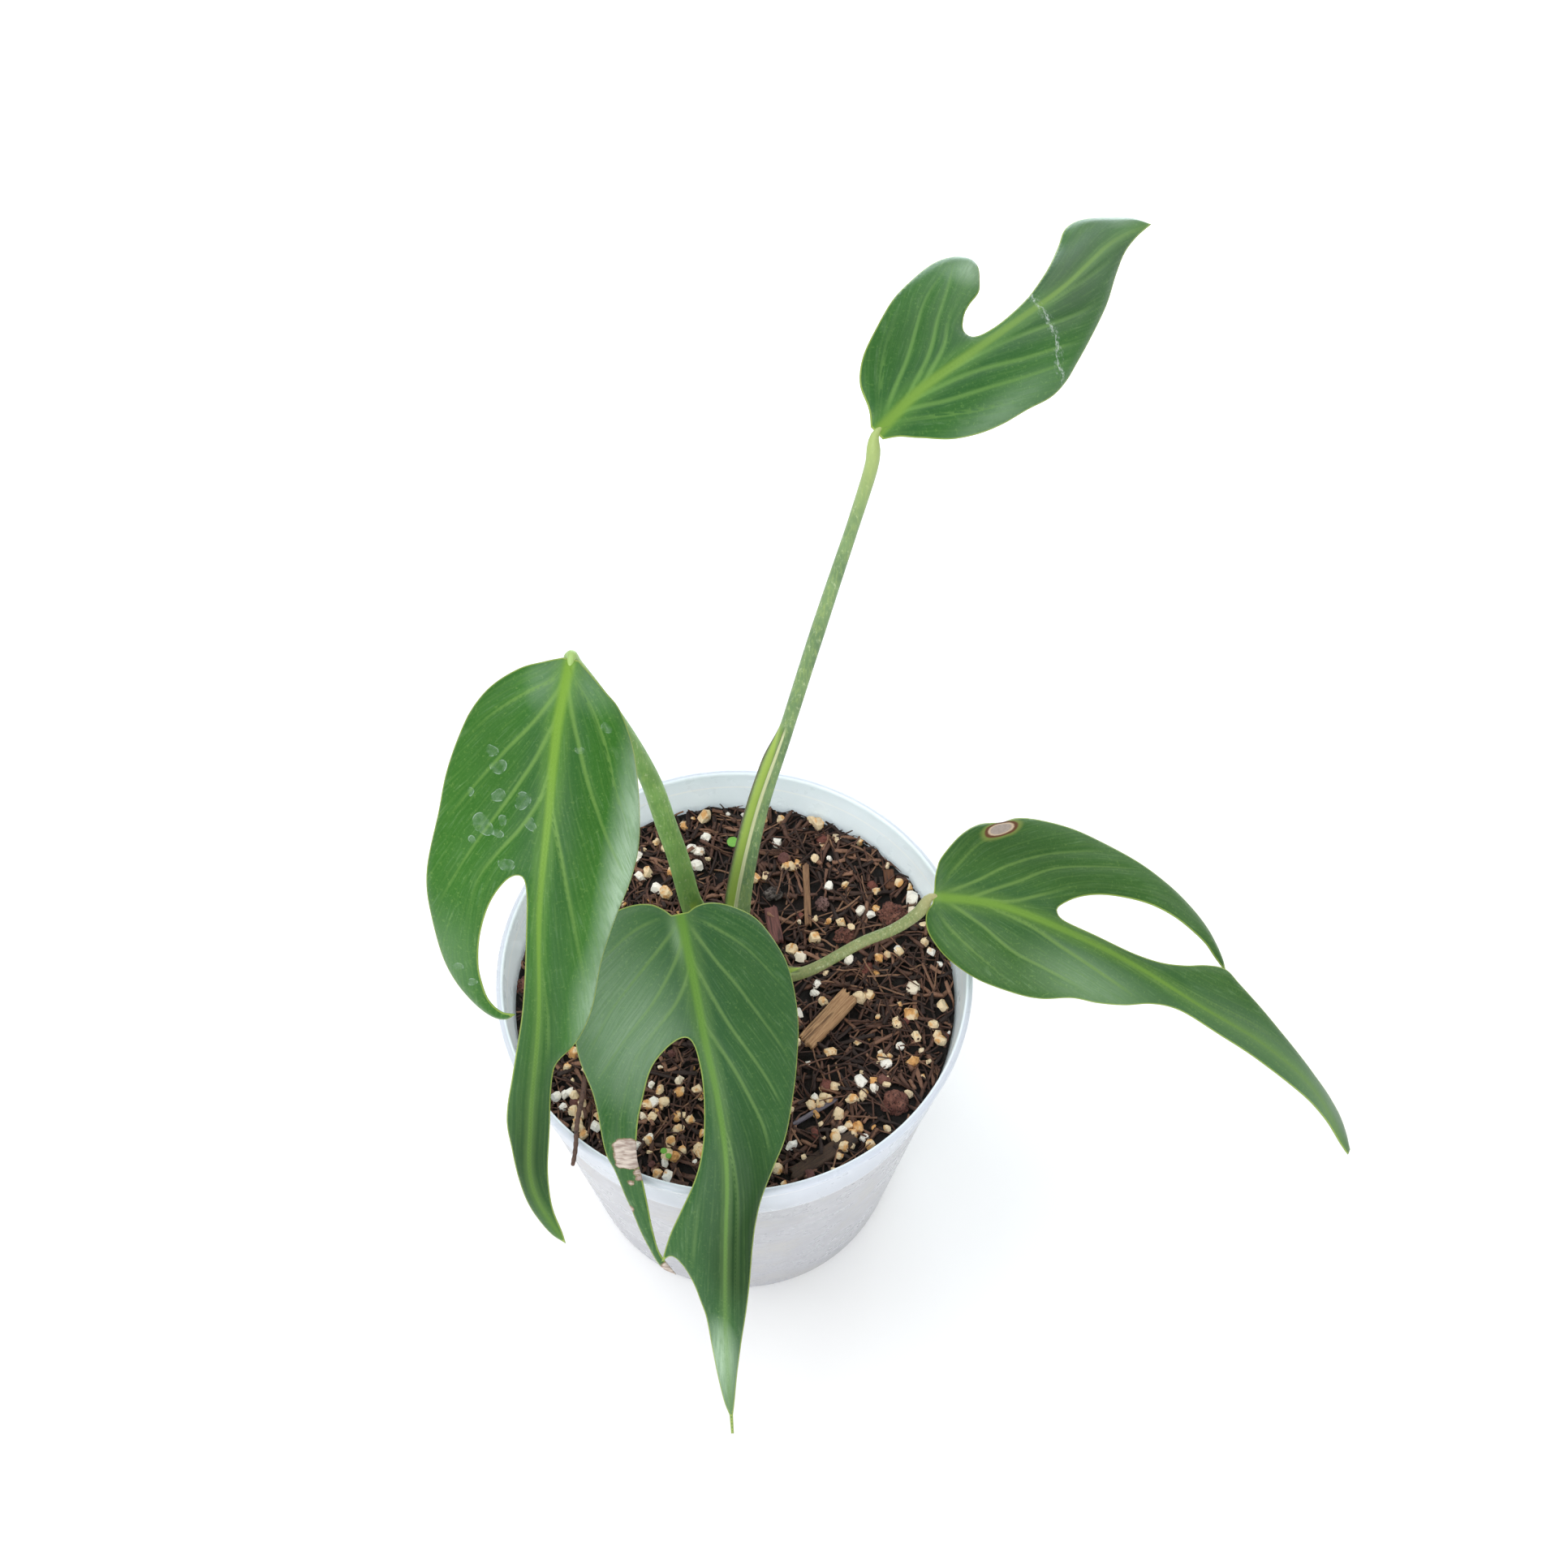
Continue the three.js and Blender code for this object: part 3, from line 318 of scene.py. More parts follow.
# %% Leaf sizes
LEAVES = {
    "left": {
        "spine": [
            [-35, 11, 254], [-38, -3, 246], [-40, -18, 235], [-43, -33, 216],
            [-45, -47, 187], [-49, -59, 156], [-50, -68, 134], [-43, -75, 111],
        ],
        "side": [1, 0, 0], "roll": [6, 0],
        "left": {"fold": [-10, -5], "curl": [-1.7, -1.9, -0.5]},
        "right": {"fold": [-4, -4], "curl": [-0.6, -0.6, -0.5]},
        "lobe": {"half": -1, "root": 53, "tip": 108, "split": [(53, -5), (108, -5.5)], "drop": 9},
        "outline": [
            [
                [2, 0], [8.5, 5], [14, 9.5], [19, 19], [22.6, 33], [24.7, 44.5], [23.3, 54], [19, 66],
                [15.8, 77.5], [13.5, 90], [10, 99.5], [5.6, 106], [4.6, 112], [4.9, 128], [4.8, 140],
                [4, 150.5], [2, 161], [0.9, 169], [0, 174],
            ],
            [
                [0, 174], [-2.3, 169], [-3.2, 160], [-3.2, 148], [-4.3, 138], [-5.9, 130], [-6.1, 124],
                [-5.4, 113.5], [-4.8, 102], [-4, 89], [-3.3, 74], [-3.1, 60], [-3.9, 53.5], [-5.7, 52],
                [-8.6, 54.2], [-12.2, 61], [-14.8, 71], [-15.6, 81], [-14.9, 88], [-13.2, 94.5],
                [-10, 98.3], [-6.4, 98],
            ],
            [
                [-6.4, 98], [-8.6, 101], [-12, 101.5], [-16.5, 98], [-21.2, 91], [-24.8, 82], [-27.3, 70],
                [-28.5, 57.5], [-27.4, 42], [-26.2, 29], [-23.2, 18.4], [-18.6, 10], [-12, 4.2],
                [-6, 1.5], [-2, 0],
            ],
        ],
    },
    "front": {
        "spine": [
            [-13, -7, 166], [-9.5, -22, 160], [-6.5, -36, 153], [-3, -50, 144],
            [-1, -64, 134.5], [-1.5, -79, 117.5], [-1.7, -93, 96], [-0.6, -107, 68],
        ],
        "side": [1, 0, 0], "roll": [0, 0],
        "left": {"fold": [-12, -5], "curl": [-0.9, -1, -1]},
        "right": {"fold": [-3, -5], "curl": [-0.4, -0.4, -1]},
        "lobe": {
            "half": -1, "root": 31, "tip": 102, "drop": 7,
            "split": [(31, -5), (56, -12), (80, -17), (90, -18), (95.3, -17.3), (96.4, -12)],
        },
        "outline": [
            [
                [2.2, 0], [5, -1.2], [9, -1.3], [14, 0.4], [20, 4.3], [24, 10.5], [26.6, 18], [27, 27],
                [26, 36], [23.6, 43.5], [20, 52], [16.2, 60.5], [12.4, 67], [9.6, 73.5], [8.2, 80],
                [7.2, 90], [6.5, 99.6], [5.5, 110], [4, 120], [2.4, 131], [1.3, 140], [0.5, 146],
            ],
            [[0.5, 146], [0.4, 153]],
            [[0.4, 153], [-0.4, 153]],
            [[-0.4, 153], [-0.5, 146]],
            [
                [-0.5, 146], [-1.7, 141], [-2.8, 132.4], [-3.9, 121], [-5, 111], [-6.5, 105.5],
                [-8.5, 100], [-11.4, 95], [-14.3, 92.8], [-16.9, 95],
            ],
            [
                [-16.9, 95], [-15, 87.5], [-12.6, 81], [-10.5, 75.5], [-8.6, 70.3], [-6.6, 63.5],
                [-4.9, 56], [-3.5, 47], [-2.8, 40], [-3.1, 33.6], [-5.2, 31.2], [-10.2, 33],
                [-15.6, 37.6], [-19.7, 46], [-22.4, 54.8], [-23.3, 64], [-22.3, 72], [-20.6, 82],
                [-19.4, 89], [-17.6, 97], [-13.4, 104],
            ],
            [
                [-13.4, 104], [-17.6, 101.6], [-21.5, 93], [-24.6, 84.5], [-27.8, 76.4], [-30.8, 64.4],
                [-31.9, 51], [-32.2, 40], [-33.5, 31], [-33, 22], [-31, 13], [-27, 5], [-22, -0.8],
                [-17, -4], [-11.5, -4.8], [-7, -4], [-4, -2], [-2.2, 0],
            ],
        ],
    },
    "top": {
        "spine": [
            [34, 41, 297.5], [43, 52, 298], [54, 63.5, 296.5], [66, 77, 293],
            [79, 94.5, 286], [93, 119, 275], [105.5, 135.5, 265],
        ],
        "side": [-0.8, 0.6, 0], "roll": [24, 16],
        "left": {"fold": [-4, -4], "curl": [-0.6, -0.7, -0.8]},
        "right": {"fold": [-8, -5], "curl": [-1.4, -1.4, -0.8]},
        "lobe": {"half": 1, "root": 36, "tip": 68, "split": [(36, 5), (68, 7)], "drop": 3},
        "outline": [
            [
                [2, 0], [4.9, 2.9], [9.9, 6], [13.6, 10.7], [16.8, 17], [20.8, 26.6], [23, 36],
                [24.3, 45.5], [24, 52.5], [22.3, 58], [20, 60.4], [17.2, 59], [14.1, 54.6],
                [11.3, 49.8], [10, 44], [8.4, 39.6], [5.6, 35.9], [3.2, 36], [2.1, 39.5], [2, 47],
                [3, 57.5], [5, 68.5], [7, 79.5], [8.6, 87.5], [10.2, 94], [10.2, 100], [9, 106],
                [7, 113], [4.2, 121], [0, 125.3],
            ],
            [
                [0, 125.3], [-0.8, 119.5], [-1.8, 114], [-4, 104], [-6.6, 95], [-9.9, 84],
                [-12.6, 73], [-16, 62], [-18.2, 55], [-19.2, 48], [-18.5, 40], [-17.8, 31],
                [-15.6, 21.5], [-12.3, 13.2], [-7.8, 7.2], [-4.2, 3.4], [-2, 0],
            ],
        ],
    },
    "right": {
        "spine": [
            [53.5, 12, 140.5], [71, 9.5, 140], [90.5, 3.5, 135.5], [108, -2.7, 128.5],
            [127, -10, 118], [146, -15.5, 105], [161, -23, 91.5], [172.5, -34, 73],
        ],
        "side": [0.35, 0.94, 0], "roll": [14, 0],
        "left": {"fold": [-3, -3], "curl": [-0.4, -0.4, -0.4]},
        "right": {"fold": [-14, -5], "curl": [-1, -1, -0.8]},
        "lobe": {"half": 1, "root": 33, "tip": 92, "split": [(33, 4), (62.5, 13), (92, 15.5)], "drop": 7},
        "outline": [
            [
                [2, 0], [5, -0.2], [8, 0], [11.4, 0.9], [18.3, 5.5], [22.5, 10], [24.2, 14.7],
                [26.7, 17.7], [28.3, 23], [29.8, 33], [29.8, 46], [28.9, 58], [27.8, 69], [26.2, 77],
                [23.4, 84.5], [20.2, 89.2], [17.2, 91.5],
            ],
            [
                [17.2, 91.5], [18.9, 86], [20.7, 80], [21.1, 73], [20.5, 64], [18.8, 54.5],
                [15.1, 44.4], [10.7, 37.4], [6.2, 33.4], [4, 33.2], [2.6, 35.8], [2.5, 44], [3, 56],
                [4.8, 64.7], [7.9, 71.7], [11.8, 78], [14, 83], [14.4, 87], [12.6, 91.5], [10.2, 97.8],
                [8, 104.4], [6.4, 111.5], [4.9, 119.2], [4.2, 126], [4.7, 134], [5.2, 141], [4.4, 147],
                [2.6, 151.5],
            ],
            [[2.6, 151.5], [0.6, 151.5]],
            [
                [0.6, 151.5], [-0.3, 147], [-1.2, 139], [-2.8, 129.6], [-4.2, 118], [-4.6, 106],
                [-4.3, 92], [-3.8, 80], [-4.6, 73.2], [-7, 67.2], [-10.7, 61.3], [-13.8, 54],
                [-15.8, 46.7], [-19.6, 39], [-21.2, 32], [-21.4, 21], [-20, 12], [-16.7, 5.5],
                [-12, 1.2], [-8, -0.9], [-4.5, -1.2], [-2, 0],
            ],
        ],
    },
}
print("leaves:", ", ".join(LEAVES))

# %% [markdown]
# ### Leaf surface
# A blade is a thin sheet bent two ways: it hangs in an arc along its midrib, and each half folds and
# curls away from it. It could be sculpted by hand, but a rule is easier to steer. This class takes a
# spot on the flat leaf, across and along, and gives its place on the bent leaf and the way that the
# surface faces there. Past its split line, the lobe drops lower the nearer it comes to its tip.


# %% Leaf surface
LOBE_MARGIN = 3  # millimetres past the lobe's tip that still drop with it


class LeafSurface:
    def __init__(self, leaf):
        self.leaf = leaf
        self.line = smooth_line(leaf["spine"], 60)
        self.run = run_of(self.line)
        self.length = self.run[-1]
        self.way = unit(np.gradient(self.line, self.run, axis=0))

    def frame(self, y):
        held = np.clip(y, 0, self.length)
        way = unit(read_line(self.way, self.run, held))
        origin = read_line(self.line, self.run, held) + way * (y - held)[:, None]
        side = np.array(self.leaf["side"], float)
        side = unit(side - (way @ side)[:, None] * way)
        up = np.cross(way, side)
        turn = np.radians(spread(self.leaf["roll"], y / self.length))[:, None]
        return origin, side * np.cos(turn) + up * np.sin(turn), up * np.cos(turn) - side * np.sin(turn)

    def lobe_drop(self, x, y):
        lobe = self.leaf["lobe"]
        share = (y - lobe["root"]) / (lobe["tip"] - lobe["root"])
        split = np.interp(y, *zip(*lobe["split"]))
        beyond = (lobe["half"] * x > lobe["half"] * split) & (share >= 0) & (y <= lobe["tip"] + LOBE_MARGIN)
        return np.where(beyond, lobe["drop"] * share**2, 0)

    def point(self, x, y):
        origin, side, up = self.frame(y)
        share = y / self.length
        left, right = self.leaf["left"], self.leaf["right"]
        bend = [
            np.where(x > 0, spread(left[key], share), spread(right[key], share))
            for key in ("fold", "curl")
        ]
        fold, curl = np.radians(bend)
        turn = fold + curl * np.abs(x)
        across = (np.sin(turn) - np.sin(fold)) / curl * np.sign(x)
        lift = (np.cos(fold) - np.cos(turn)) / curl - self.lobe_drop(x, y)
        return origin + side * across[:, None] + up * lift[:, None]

    def normal(self, x, y, step=0.2):
        across = self.point(x + step, y) - self.point(x - step, y)
        onward = self.point(x, y + step) - self.point(x, y - step)
        return unit(np.cross(onward, across))


surfaces = {name: LeafSurface(leaf) for name, leaf in LEAVES.items()}
print({name: round(surface.length, 1) for name, surface in surfaces.items()}, "mm along the midribs")

# %% [markdown]
# ### Veins
# Side veins leave the midrib at a small angle and sweep out in long arcs. Each row below is one strong
# vein in the flat leaf, as distance out from the midrib and distance along it. All that the finish
# needs is where a point lies between two neighbouring veins: a number whose whole part counts the
# veins and whose fraction says how far across to the next. Whole numbers are then the strong veins,
# and even steps between them are the fine veins that run beside them.

# %% Vein paths
VEINS = {
    "left": {
        "left": [
            [(0.7, 3.3), (6.8, 10), (11.6, 19), (15.2, 29.6), (19.6, 38.8)],
            [(0.9, 7), (4.8, 17.8), (8.7, 28.9), (13.6, 39.5), (17.9, 47.3)],
            [(1.5, 37.9), (4.4, 47.7), (7.7, 62.1), (10.5, 79.5)],
            [(0.6, 78), (2.3, 95), (3, 115), (3, 135)],
        ],
        "right": [
            [(3.3, 5.5), (8.4, 9.2), (12.8, 12.6), (17.2, 16.3), (20.8, 19.8)],
            [(2, 9.1), (6.1, 16.1), (12.1, 23), (17.5, 30.3), (22.8, 39.3)],
            [(1.8, 17.7), (4.2, 23.5), (7.5, 29.5), (11.7, 37.3), (16.7, 46.7), (21.1, 55.9)],
            [
                (1.2, 28.7), (2.4, 33), (6.4, 40.7), (11.5, 48.2), (15.3, 55.4), (17.5, 65.7),
                (18.5, 76), (17, 90),
            ],
            [(0.6, 60), (1.4, 75), (2.2, 92), (3, 112), (2.8, 130)],
        ],
    },
    "front": {
        "left": [
            [(1.8, 0.9), (6.2, 3.8), (14.6, 10.9), (20.9, 19.3)],
            [(1.7, 3.4), (6.3, 13.2), (11.5, 22), (16, 31.2), (18.4, 37)],
            [(1.7, 16.1), (5.6, 27.3), (10.7, 39.4), (13.6, 46.2)],
            [(0.6, 28.8), (4.4, 38.4), (7.6, 47.8), (10.4, 56.4), (11.5, 64)],
            [(1, 59.8), (2.5, 72.7), (2.9, 84.3), (2.9, 100)],
        ],
        "right": [
            [(2, -0.1), (7.1, 0.5), (11.6, 1.5), (15.6, 3.3), (18.8, 5.1)],
            [(1.6, 2.8), (8.2, 8.7), (15.4, 14.6), (21.9, 20.6), (26.8, 26.6)],
            [(1, 7.1), (3.7, 11.8), (11.2, 21), (19, 28), (25.7, 33.8)],
            [
                (1.1, 15.6), (5.8, 22.6), (13.2, 29), (19.5, 35.2), (24.4, 45.1), (26.5, 54.3),
                (26.7, 71.3), (23.5, 84.8), (20.3, 92.5),
            ],
            [(1.2, 36), (2.2, 44), (4.4, 57), (7, 75.5), (8, 88)],
        ],
    },
    "top": {
        "left": [
            [(2.1, 2.6), (8, 10.6), (12.9, 17.3), (15.9, 22.3)],
            [(2.1, 5.5), (6.5, 16.7), (12.7, 27.1), (17.7, 37.4), (20.9, 50.9)],
            [(1, 12.5), (4.9, 22.5), (11.4, 33.3), (17.7, 45.8)],
            [(1.7, 19.8), (5.1, 28.2), (9.9, 35.5), (13.3, 44.7), (14.7, 52.4)],
            [(0.8, 50), (2.4, 65), (4.4, 80), (6.4, 95)],
        ],
        "right": [
            [(0.8, 3.8), (5.9, 12.6), (10.5, 23.4), (13.6, 32.6)],
            [(0.6, 7.5), (5, 17.8), (8.1, 29.2), (11.3, 41.6), (13.7, 52.8)],
            [(1.3, 15.5), (3.8, 29.8), (7.8, 44.2), (10.3, 55.5)],
            [(0.6, 27.5), (1.8, 38.8), (4.1, 52.6), (6.8, 68.3), (7.8, 75.6)],
            [(0.4, 58), (1.4, 72), (2.8, 88), (3.4, 100)],
        ],
    },
    "right": {
        "left": [
            [(2.2, 0.8), (8.6, 5.2), (15.7, 10), (18, 12.1)],
            [(1.4, 3.1), (5.8, 11.3), (12.1, 18.2), (18.6, 26), (24.6, 35.9), (26.7, 40.3)],
            [(1, 10.8), (7.4, 20.2), (15.6, 28.9), (22.4, 41.4)],
            [(0.6, 14), (1.9, 20.5), (7.7, 28.9), (13.8, 36.5), (19.9, 48.3), (24.2, 60.6), (25.5, 72.9)],
            [(0.6, 52), (1.8, 75), (3.4, 100), (3.2, 120)],
        ],
        "right": [
            [(1.7, -0.2), (8.3, 5.5), (13.5, 13.1), (17.1, 23.6)],
            [(0.9, 3.3), (5.7, 12.9), (10.4, 24.7), (11.5, 35.2), (12.1, 45.6)],
            [(1.4, 17.9), (2.5, 27.5), (4.6, 38), (6.2, 50), (7.4, 62)],
            [(0.4, 56), (1.3, 78), (2.4, 100), (2.4, 118)],
        ],
    },
}
VEIN_RUN_ON = 60.0  # millimetres
OUTSIDE_BASE = [(0, -40), (0.5, -14), (14, -9), (34, 4), (56, 34)]


def signed_distance(points, line):
    nearest = np.full(len(points), 1e9)
    side = np.ones(len(points))
    for a, b in zip(line[:-1], line[1:]):
        way = b - a
        off = points - a
        t = np.clip(off @ way / (way @ way), 0, 1)
        distance = np.linalg.norm(off - t[:, None] * way, axis=1)
        closer = distance < nearest
        nearest = np.where(closer, distance, nearest)
        turn = way[0] * off[:, 1] - way[1] * off[:, 0]
        side = np.where(closer, np.where(turn >= 0, 1, -1), side)
    return nearest * side


def vein_line(path):
    out, along = path[0]
    line = smooth_line([(0, along - 9), (0.35 * out, along - 3.5), *path], 5)
    away = unit(np.maximum(line[-1] - line[-2], 0))
    return np.vstack([(0, -40), line, line[-1] + away * VEIN_RUN_ON])


def vein_number(paths, x, y):
    points = np.stack([np.abs(x), y], 1)
    lines = [smooth_line(OUTSIDE_BASE, 5)] + [vein_line(path) for path in paths]
    signed = np.stack([signed_distance(points, line) for line in lines] + [-np.abs(x)])
    below = np.clip((signed[:-1] > 0).sum(0) - 1, 0, len(lines) - 1)
    columns = np.arange(len(points))
    first, second = np.abs(signed[below, columns]), np.abs(signed[below + 1, columns])
    gap = np.maximum(first + second, 1e-3)
    return below + first / gap, gap


print("veins:", {name: len(halves["left"]) + len(halves["right"]) for name, halves in VEINS.items()})

# %% [markdown]
# ### Marks
# Old leaves carry marks, and each leaf here has its own: rings left by hard water drops, a dead patch
# on a lobe with dry dots and a dry tip, a long scratch, and one dry spot. Round marks are typed as
# across, along and radius. Each mark is stored as a distance from its edge, which stays sharp between
# mesh points, and the finish colours what lies inside it.

# %% Marks on the leaves
WATER_RINGS = [
    (-15.3, 41.2, 2.5), (-14.8, 22.7, 1.3), (-12.8, 26.2, 1.8), (-12.1, 33.2, 1.6), (-6.2, 33.5, 1.9),
    (-10.5, 39.1, 1.1), (-3.9, 38.8, 1.4), (-11.2, 42.5, 1.1), (-8.4, 49.7, 1.7), (-20.5, 82.6, 1.3),
    (-17.1, 87.5, 1.2), (-19.2, 33.5, 1.0), (-17.4, 45.6, 0.9), (11.2, 14.2, 1.3), (5.6, 20.5, 0.9),
]
DEAD_PATCH = {"middle": (-25.7, 61.3), "half": (1.2, 4.3), "corner": 2}
DRY_DOTS = [
    (-14.6, 102.2, 2.9), (-25.2, 73.3, 0.8), (-25.3, 82.8, 0.9), (-23.2, 69.2, 1.1), (-22.8, 71.4, 1),
]
DRY_SPOT = {"middle": (21.9, 14.8), "long": 3.7, "wide": 1.75, "turn": 43}
SCRATCH = [(1.8, 59.7), (0.4, 59), (-1.8, 58.6), (-5, 58.1), (-8.8, 56.8), (-12.1, 54.8), (-16.5, 53.1)]


def water_rings(x, y):
    nearest = np.full(len(x), 9.0)
    for number, (cx, cy, radius) in enumerate(WATER_RINGS):
        angle = np.arctan2(y - cy, x - cx)
        wobble = 1 + 0.16 * np.sin(2 * angle + number) + 0.1 * np.sin(3 * angle + 2 * number)
        nearest = np.minimum(nearest, np.hypot(x - cx, y - cy) - radius * wobble)
    return nearest


def dead_patch(x, y):
    off = np.stack([x, y], 1) - DEAD_PATCH["middle"]
    out = np.abs(off) - DEAD_PATCH["half"]
    edge = np.linalg.norm(np.maximum(out, 0), axis=1) + np.minimum(out.max(1), 0) - DEAD_PATCH["corner"]
    for cx, cy, radius in DRY_DOTS:
        edge = np.minimum(edge, np.hypot(x - cx, y - cy) - radius)
    return edge


def dry_spot(x, y):
    turn = math.radians(DRY_SPOT["turn"])
    off = np.stack([x, y], 1) - DRY_SPOT["middle"]
    along = off @ (math.cos(turn), math.sin(turn)) / DRY_SPOT["long"]
    across = off @ (-math.sin(turn), math.cos(turn)) / DRY_SPOT["wide"]
    return (np.hypot(along, across) - 1) * DRY_SPOT["wide"]


def scratch(x, y):
    return signed_distance(np.stack([x, y], 1), smooth_line(SCRATCH, 4))


MARKS = {"left": water_rings, "front": dead_patch, "top": scratch, "right": dry_spot}
print("marked leaves:", ", ".join(MARKS))

# %% [markdown]
# ### Painted sheen and shade
# A leaf isn't one green, and light is painted into it as well. Where it turns over, a pale painted
# sheen stands for its wax catching the light, and the hanging tails get painted shade. Each row is a
# soft spot: middle, reach across, reach along, and strength, which is above zero for painted sheen
# and below zero for painted shade.

# %% Painted sheen and shade on the leaves
PAINTED_LIGHT_SPOTS = {
    "left": [
        (22, 30, 5.5, 22, 0.5), (20, 62, 6, 24, 0.75), (14, 92, 6, 16, 0.55), (8, 4, 7, 7, 0.25),
        (-6, 8, 5, 8, 0.25), (-12, 26, 12, 22, -0.25), (10, 50, 6, 35, -0.15), (0, 140, 8, 28, -0.9),
        (0, 100, 5, 26, -0.35), (-22, 80, 6, 14, 0.1),
    ],
    "front": [
        (-24, 20, 12, 26, 0.3), (-12, 28, 8, 18, 0.15), (16, 30, 12, 26, -0.22), (8, 75, 12, 22, -0.8),
        (4, 96, 9, 14, -0.9), (-1.2, 124, 3.6, 17, 0.72), (-6, 101, 3, 8, 0.15), (-28, 62, 5, 18, -0.2),
        (-1.8, 6, 1.5, 5, 0.35), (14, 64, 3, 14, 0.2),
    ],
    "top": [
        (17, 54, 4, 7, 0.4), (12, 18, 8, 22, -0.3), (-15, 32, 4, 20, 0.28), (-2, 105, 9, 14, -0.3),
        (4, 80, 6, 16, -0.35), (-4, 70, 8, 16, -0.35), (3, 112, 2.5, 10, 0.3),
    ],
    "right": [
        (18, 14, 9, 18, -0.5), (24, 68, 6, 18, 0.05), (1, 132, 6, 22, 0.25), (-12, 20, 9, 24, -0.08),
        (-10, 48, 7, 20, 0.26), (0, 95, 6, 18, 0.1), (5, 50, 5, 14, -0.25), (14, 44, 6, 14, -0.3),
    ],
}


# Painted light: the sum is above zero for painted sheen and below zero for painted shade.
def painted_light_at(spots, x, y):
    tone = 0
    for across, along, wide, long, power in spots:
        tone = tone + power * np.exp(-(((x - across) / wide) ** 2) - ((y - along) / long) ** 2)
    return tone


print("tone spots:", sum(len(spots) for spots in PAINTED_LIGHT_SPOTS.values()))

# %% [markdown]
# ### Leaf mesh
# The flat leaf is filled with fine triangles, then each point is moved to the leaf surface and a
# little out of it on both faces. The relief is real: the midrib lies in a groove above and stands out
# as a ridge below, the side veins are pressed in, the skin between them swells, and the edge rolls
# down and thins out.

# %% Leaf mesh
LEAF_SPACING = 0.75  # all of these are in millimetres
ROW_SPACING = LEAF_SPACING * 0.87
EDGE_CLEARANCE = LEAF_SPACING * 0.45
HALF_THICK = 0.3
EDGE_HALF_THICK = 0.12
THINNED_EDGE = 1.2
RIB_HALF_WIDTH = 2.2
RIB_HEIGHT = 1.5
MAP_SIZE = 200.0
MAP_ORIGIN = (50.0, 10.0)


def outline_ring(strokes, spacing):
    parts = [spaced(smooth_line(stroke, 16), spacing)[:-1] for stroke in strokes]
    return np.vstack(parts + [np.array(strokes[-1][-1:], float)])


def inside_ring(points, ring):
    inside = np.zeros(len(points), bool)
    x, y = points.T
    for (ax, ay), (bx, by) in zip(ring, np.roll(ring, -1, axis=0)):
        if ay == by:
            continue
        crosses = ((ay > y) != (by > y)) & (x < ax + (y - ay) / (by - ay) * (bx - ax))
        inside ^= crosses
    return inside


def flat_triangles(strokes):
    ring = outline_ring(strokes, LEAF_SPACING)
    closed = np.vstack([ring, ring[:1]])
    rows = np.arange(ring[:, 1].min(), ring[:, 1].max(), ROW_SPACING)
    reach = math.ceil(np.abs(ring[:, 0]).max() / LEAF_SPACING)
    columns = np.arange(-reach, reach + 1) * LEAF_SPACING
    grid = [(x + LEAF_SPACING / 2 * (row % 2), y) for row, y in enumerate(rows) for x in columns]
    grid = np.array(grid)
    grid = grid[inside_ring(grid, ring)]
    grid = grid[np.abs(signed_distance(grid, closed)) > EDGE_CLEARANCE]
    edges = [(i, (i + 1) % len(ring)) for i in range(len(ring))]
    flat, _, triangles, *_ = delaunay_2d_cdt([Vector(p) for p in [*ring, *grid]], edges, [], 1, 1e-5)
    flat = np.array([tuple(p) for p in flat])
    return flat, triangles, np.abs(signed_distance(flat, closed))


def leaf_relief(flat, margin, number, gap, length):
    x, y = flat.T
    taper = np.clip(1 - y / length, 0, 1)
    rib = np.exp(-((x / (0.45 + 0.9 * taper)) ** 2))
    near = np.abs(number - np.round(number)) * gap
    vein = np.exp(-((near / 0.55) ** 2)) * fade(np.abs(x), 0.5, 2.5) * fade(margin, 1, 6)
    pillow = np.sin(np.pi * (number % 1)) ** 2 * np.clip(gap / 9, 0, 1) * fade(margin, 0, 6)
    wave = np.sin(y / 7.5 + 1.3 * np.sin(y / 17 + x / 9))
    wave = wave * (1 - fade(margin, 0, 9)) * fade(np.abs(x), 3, 8)
    roll = (1 - fade(margin, 0, 3.2)) ** 2
    return 0.28 * pillow + 0.32 * wave - 0.45 * roll, 0.35 * rib * (0.3 + taper) + 0.16 * vein


def both_faces(flat, triangles):
    count = len(flat)
    faces = []
    sides = {}
    for a, b, c in triangles:
        first, second = flat[b] - flat[a], flat[c] - flat[a]
        if first[0] * second[1] < first[1] * second[0]:
            b, c = c, b
        faces += [(a, c, b), (a + count, b + count, c + count)]
        for side in ((a, b), (b, c), (c, a)):
            sides[side] = True
    rim = [(i, j) for i, j in sides if (j, i) not in sides]
    return faces + [(i, j, j + count, i + count) for i, j in rim]


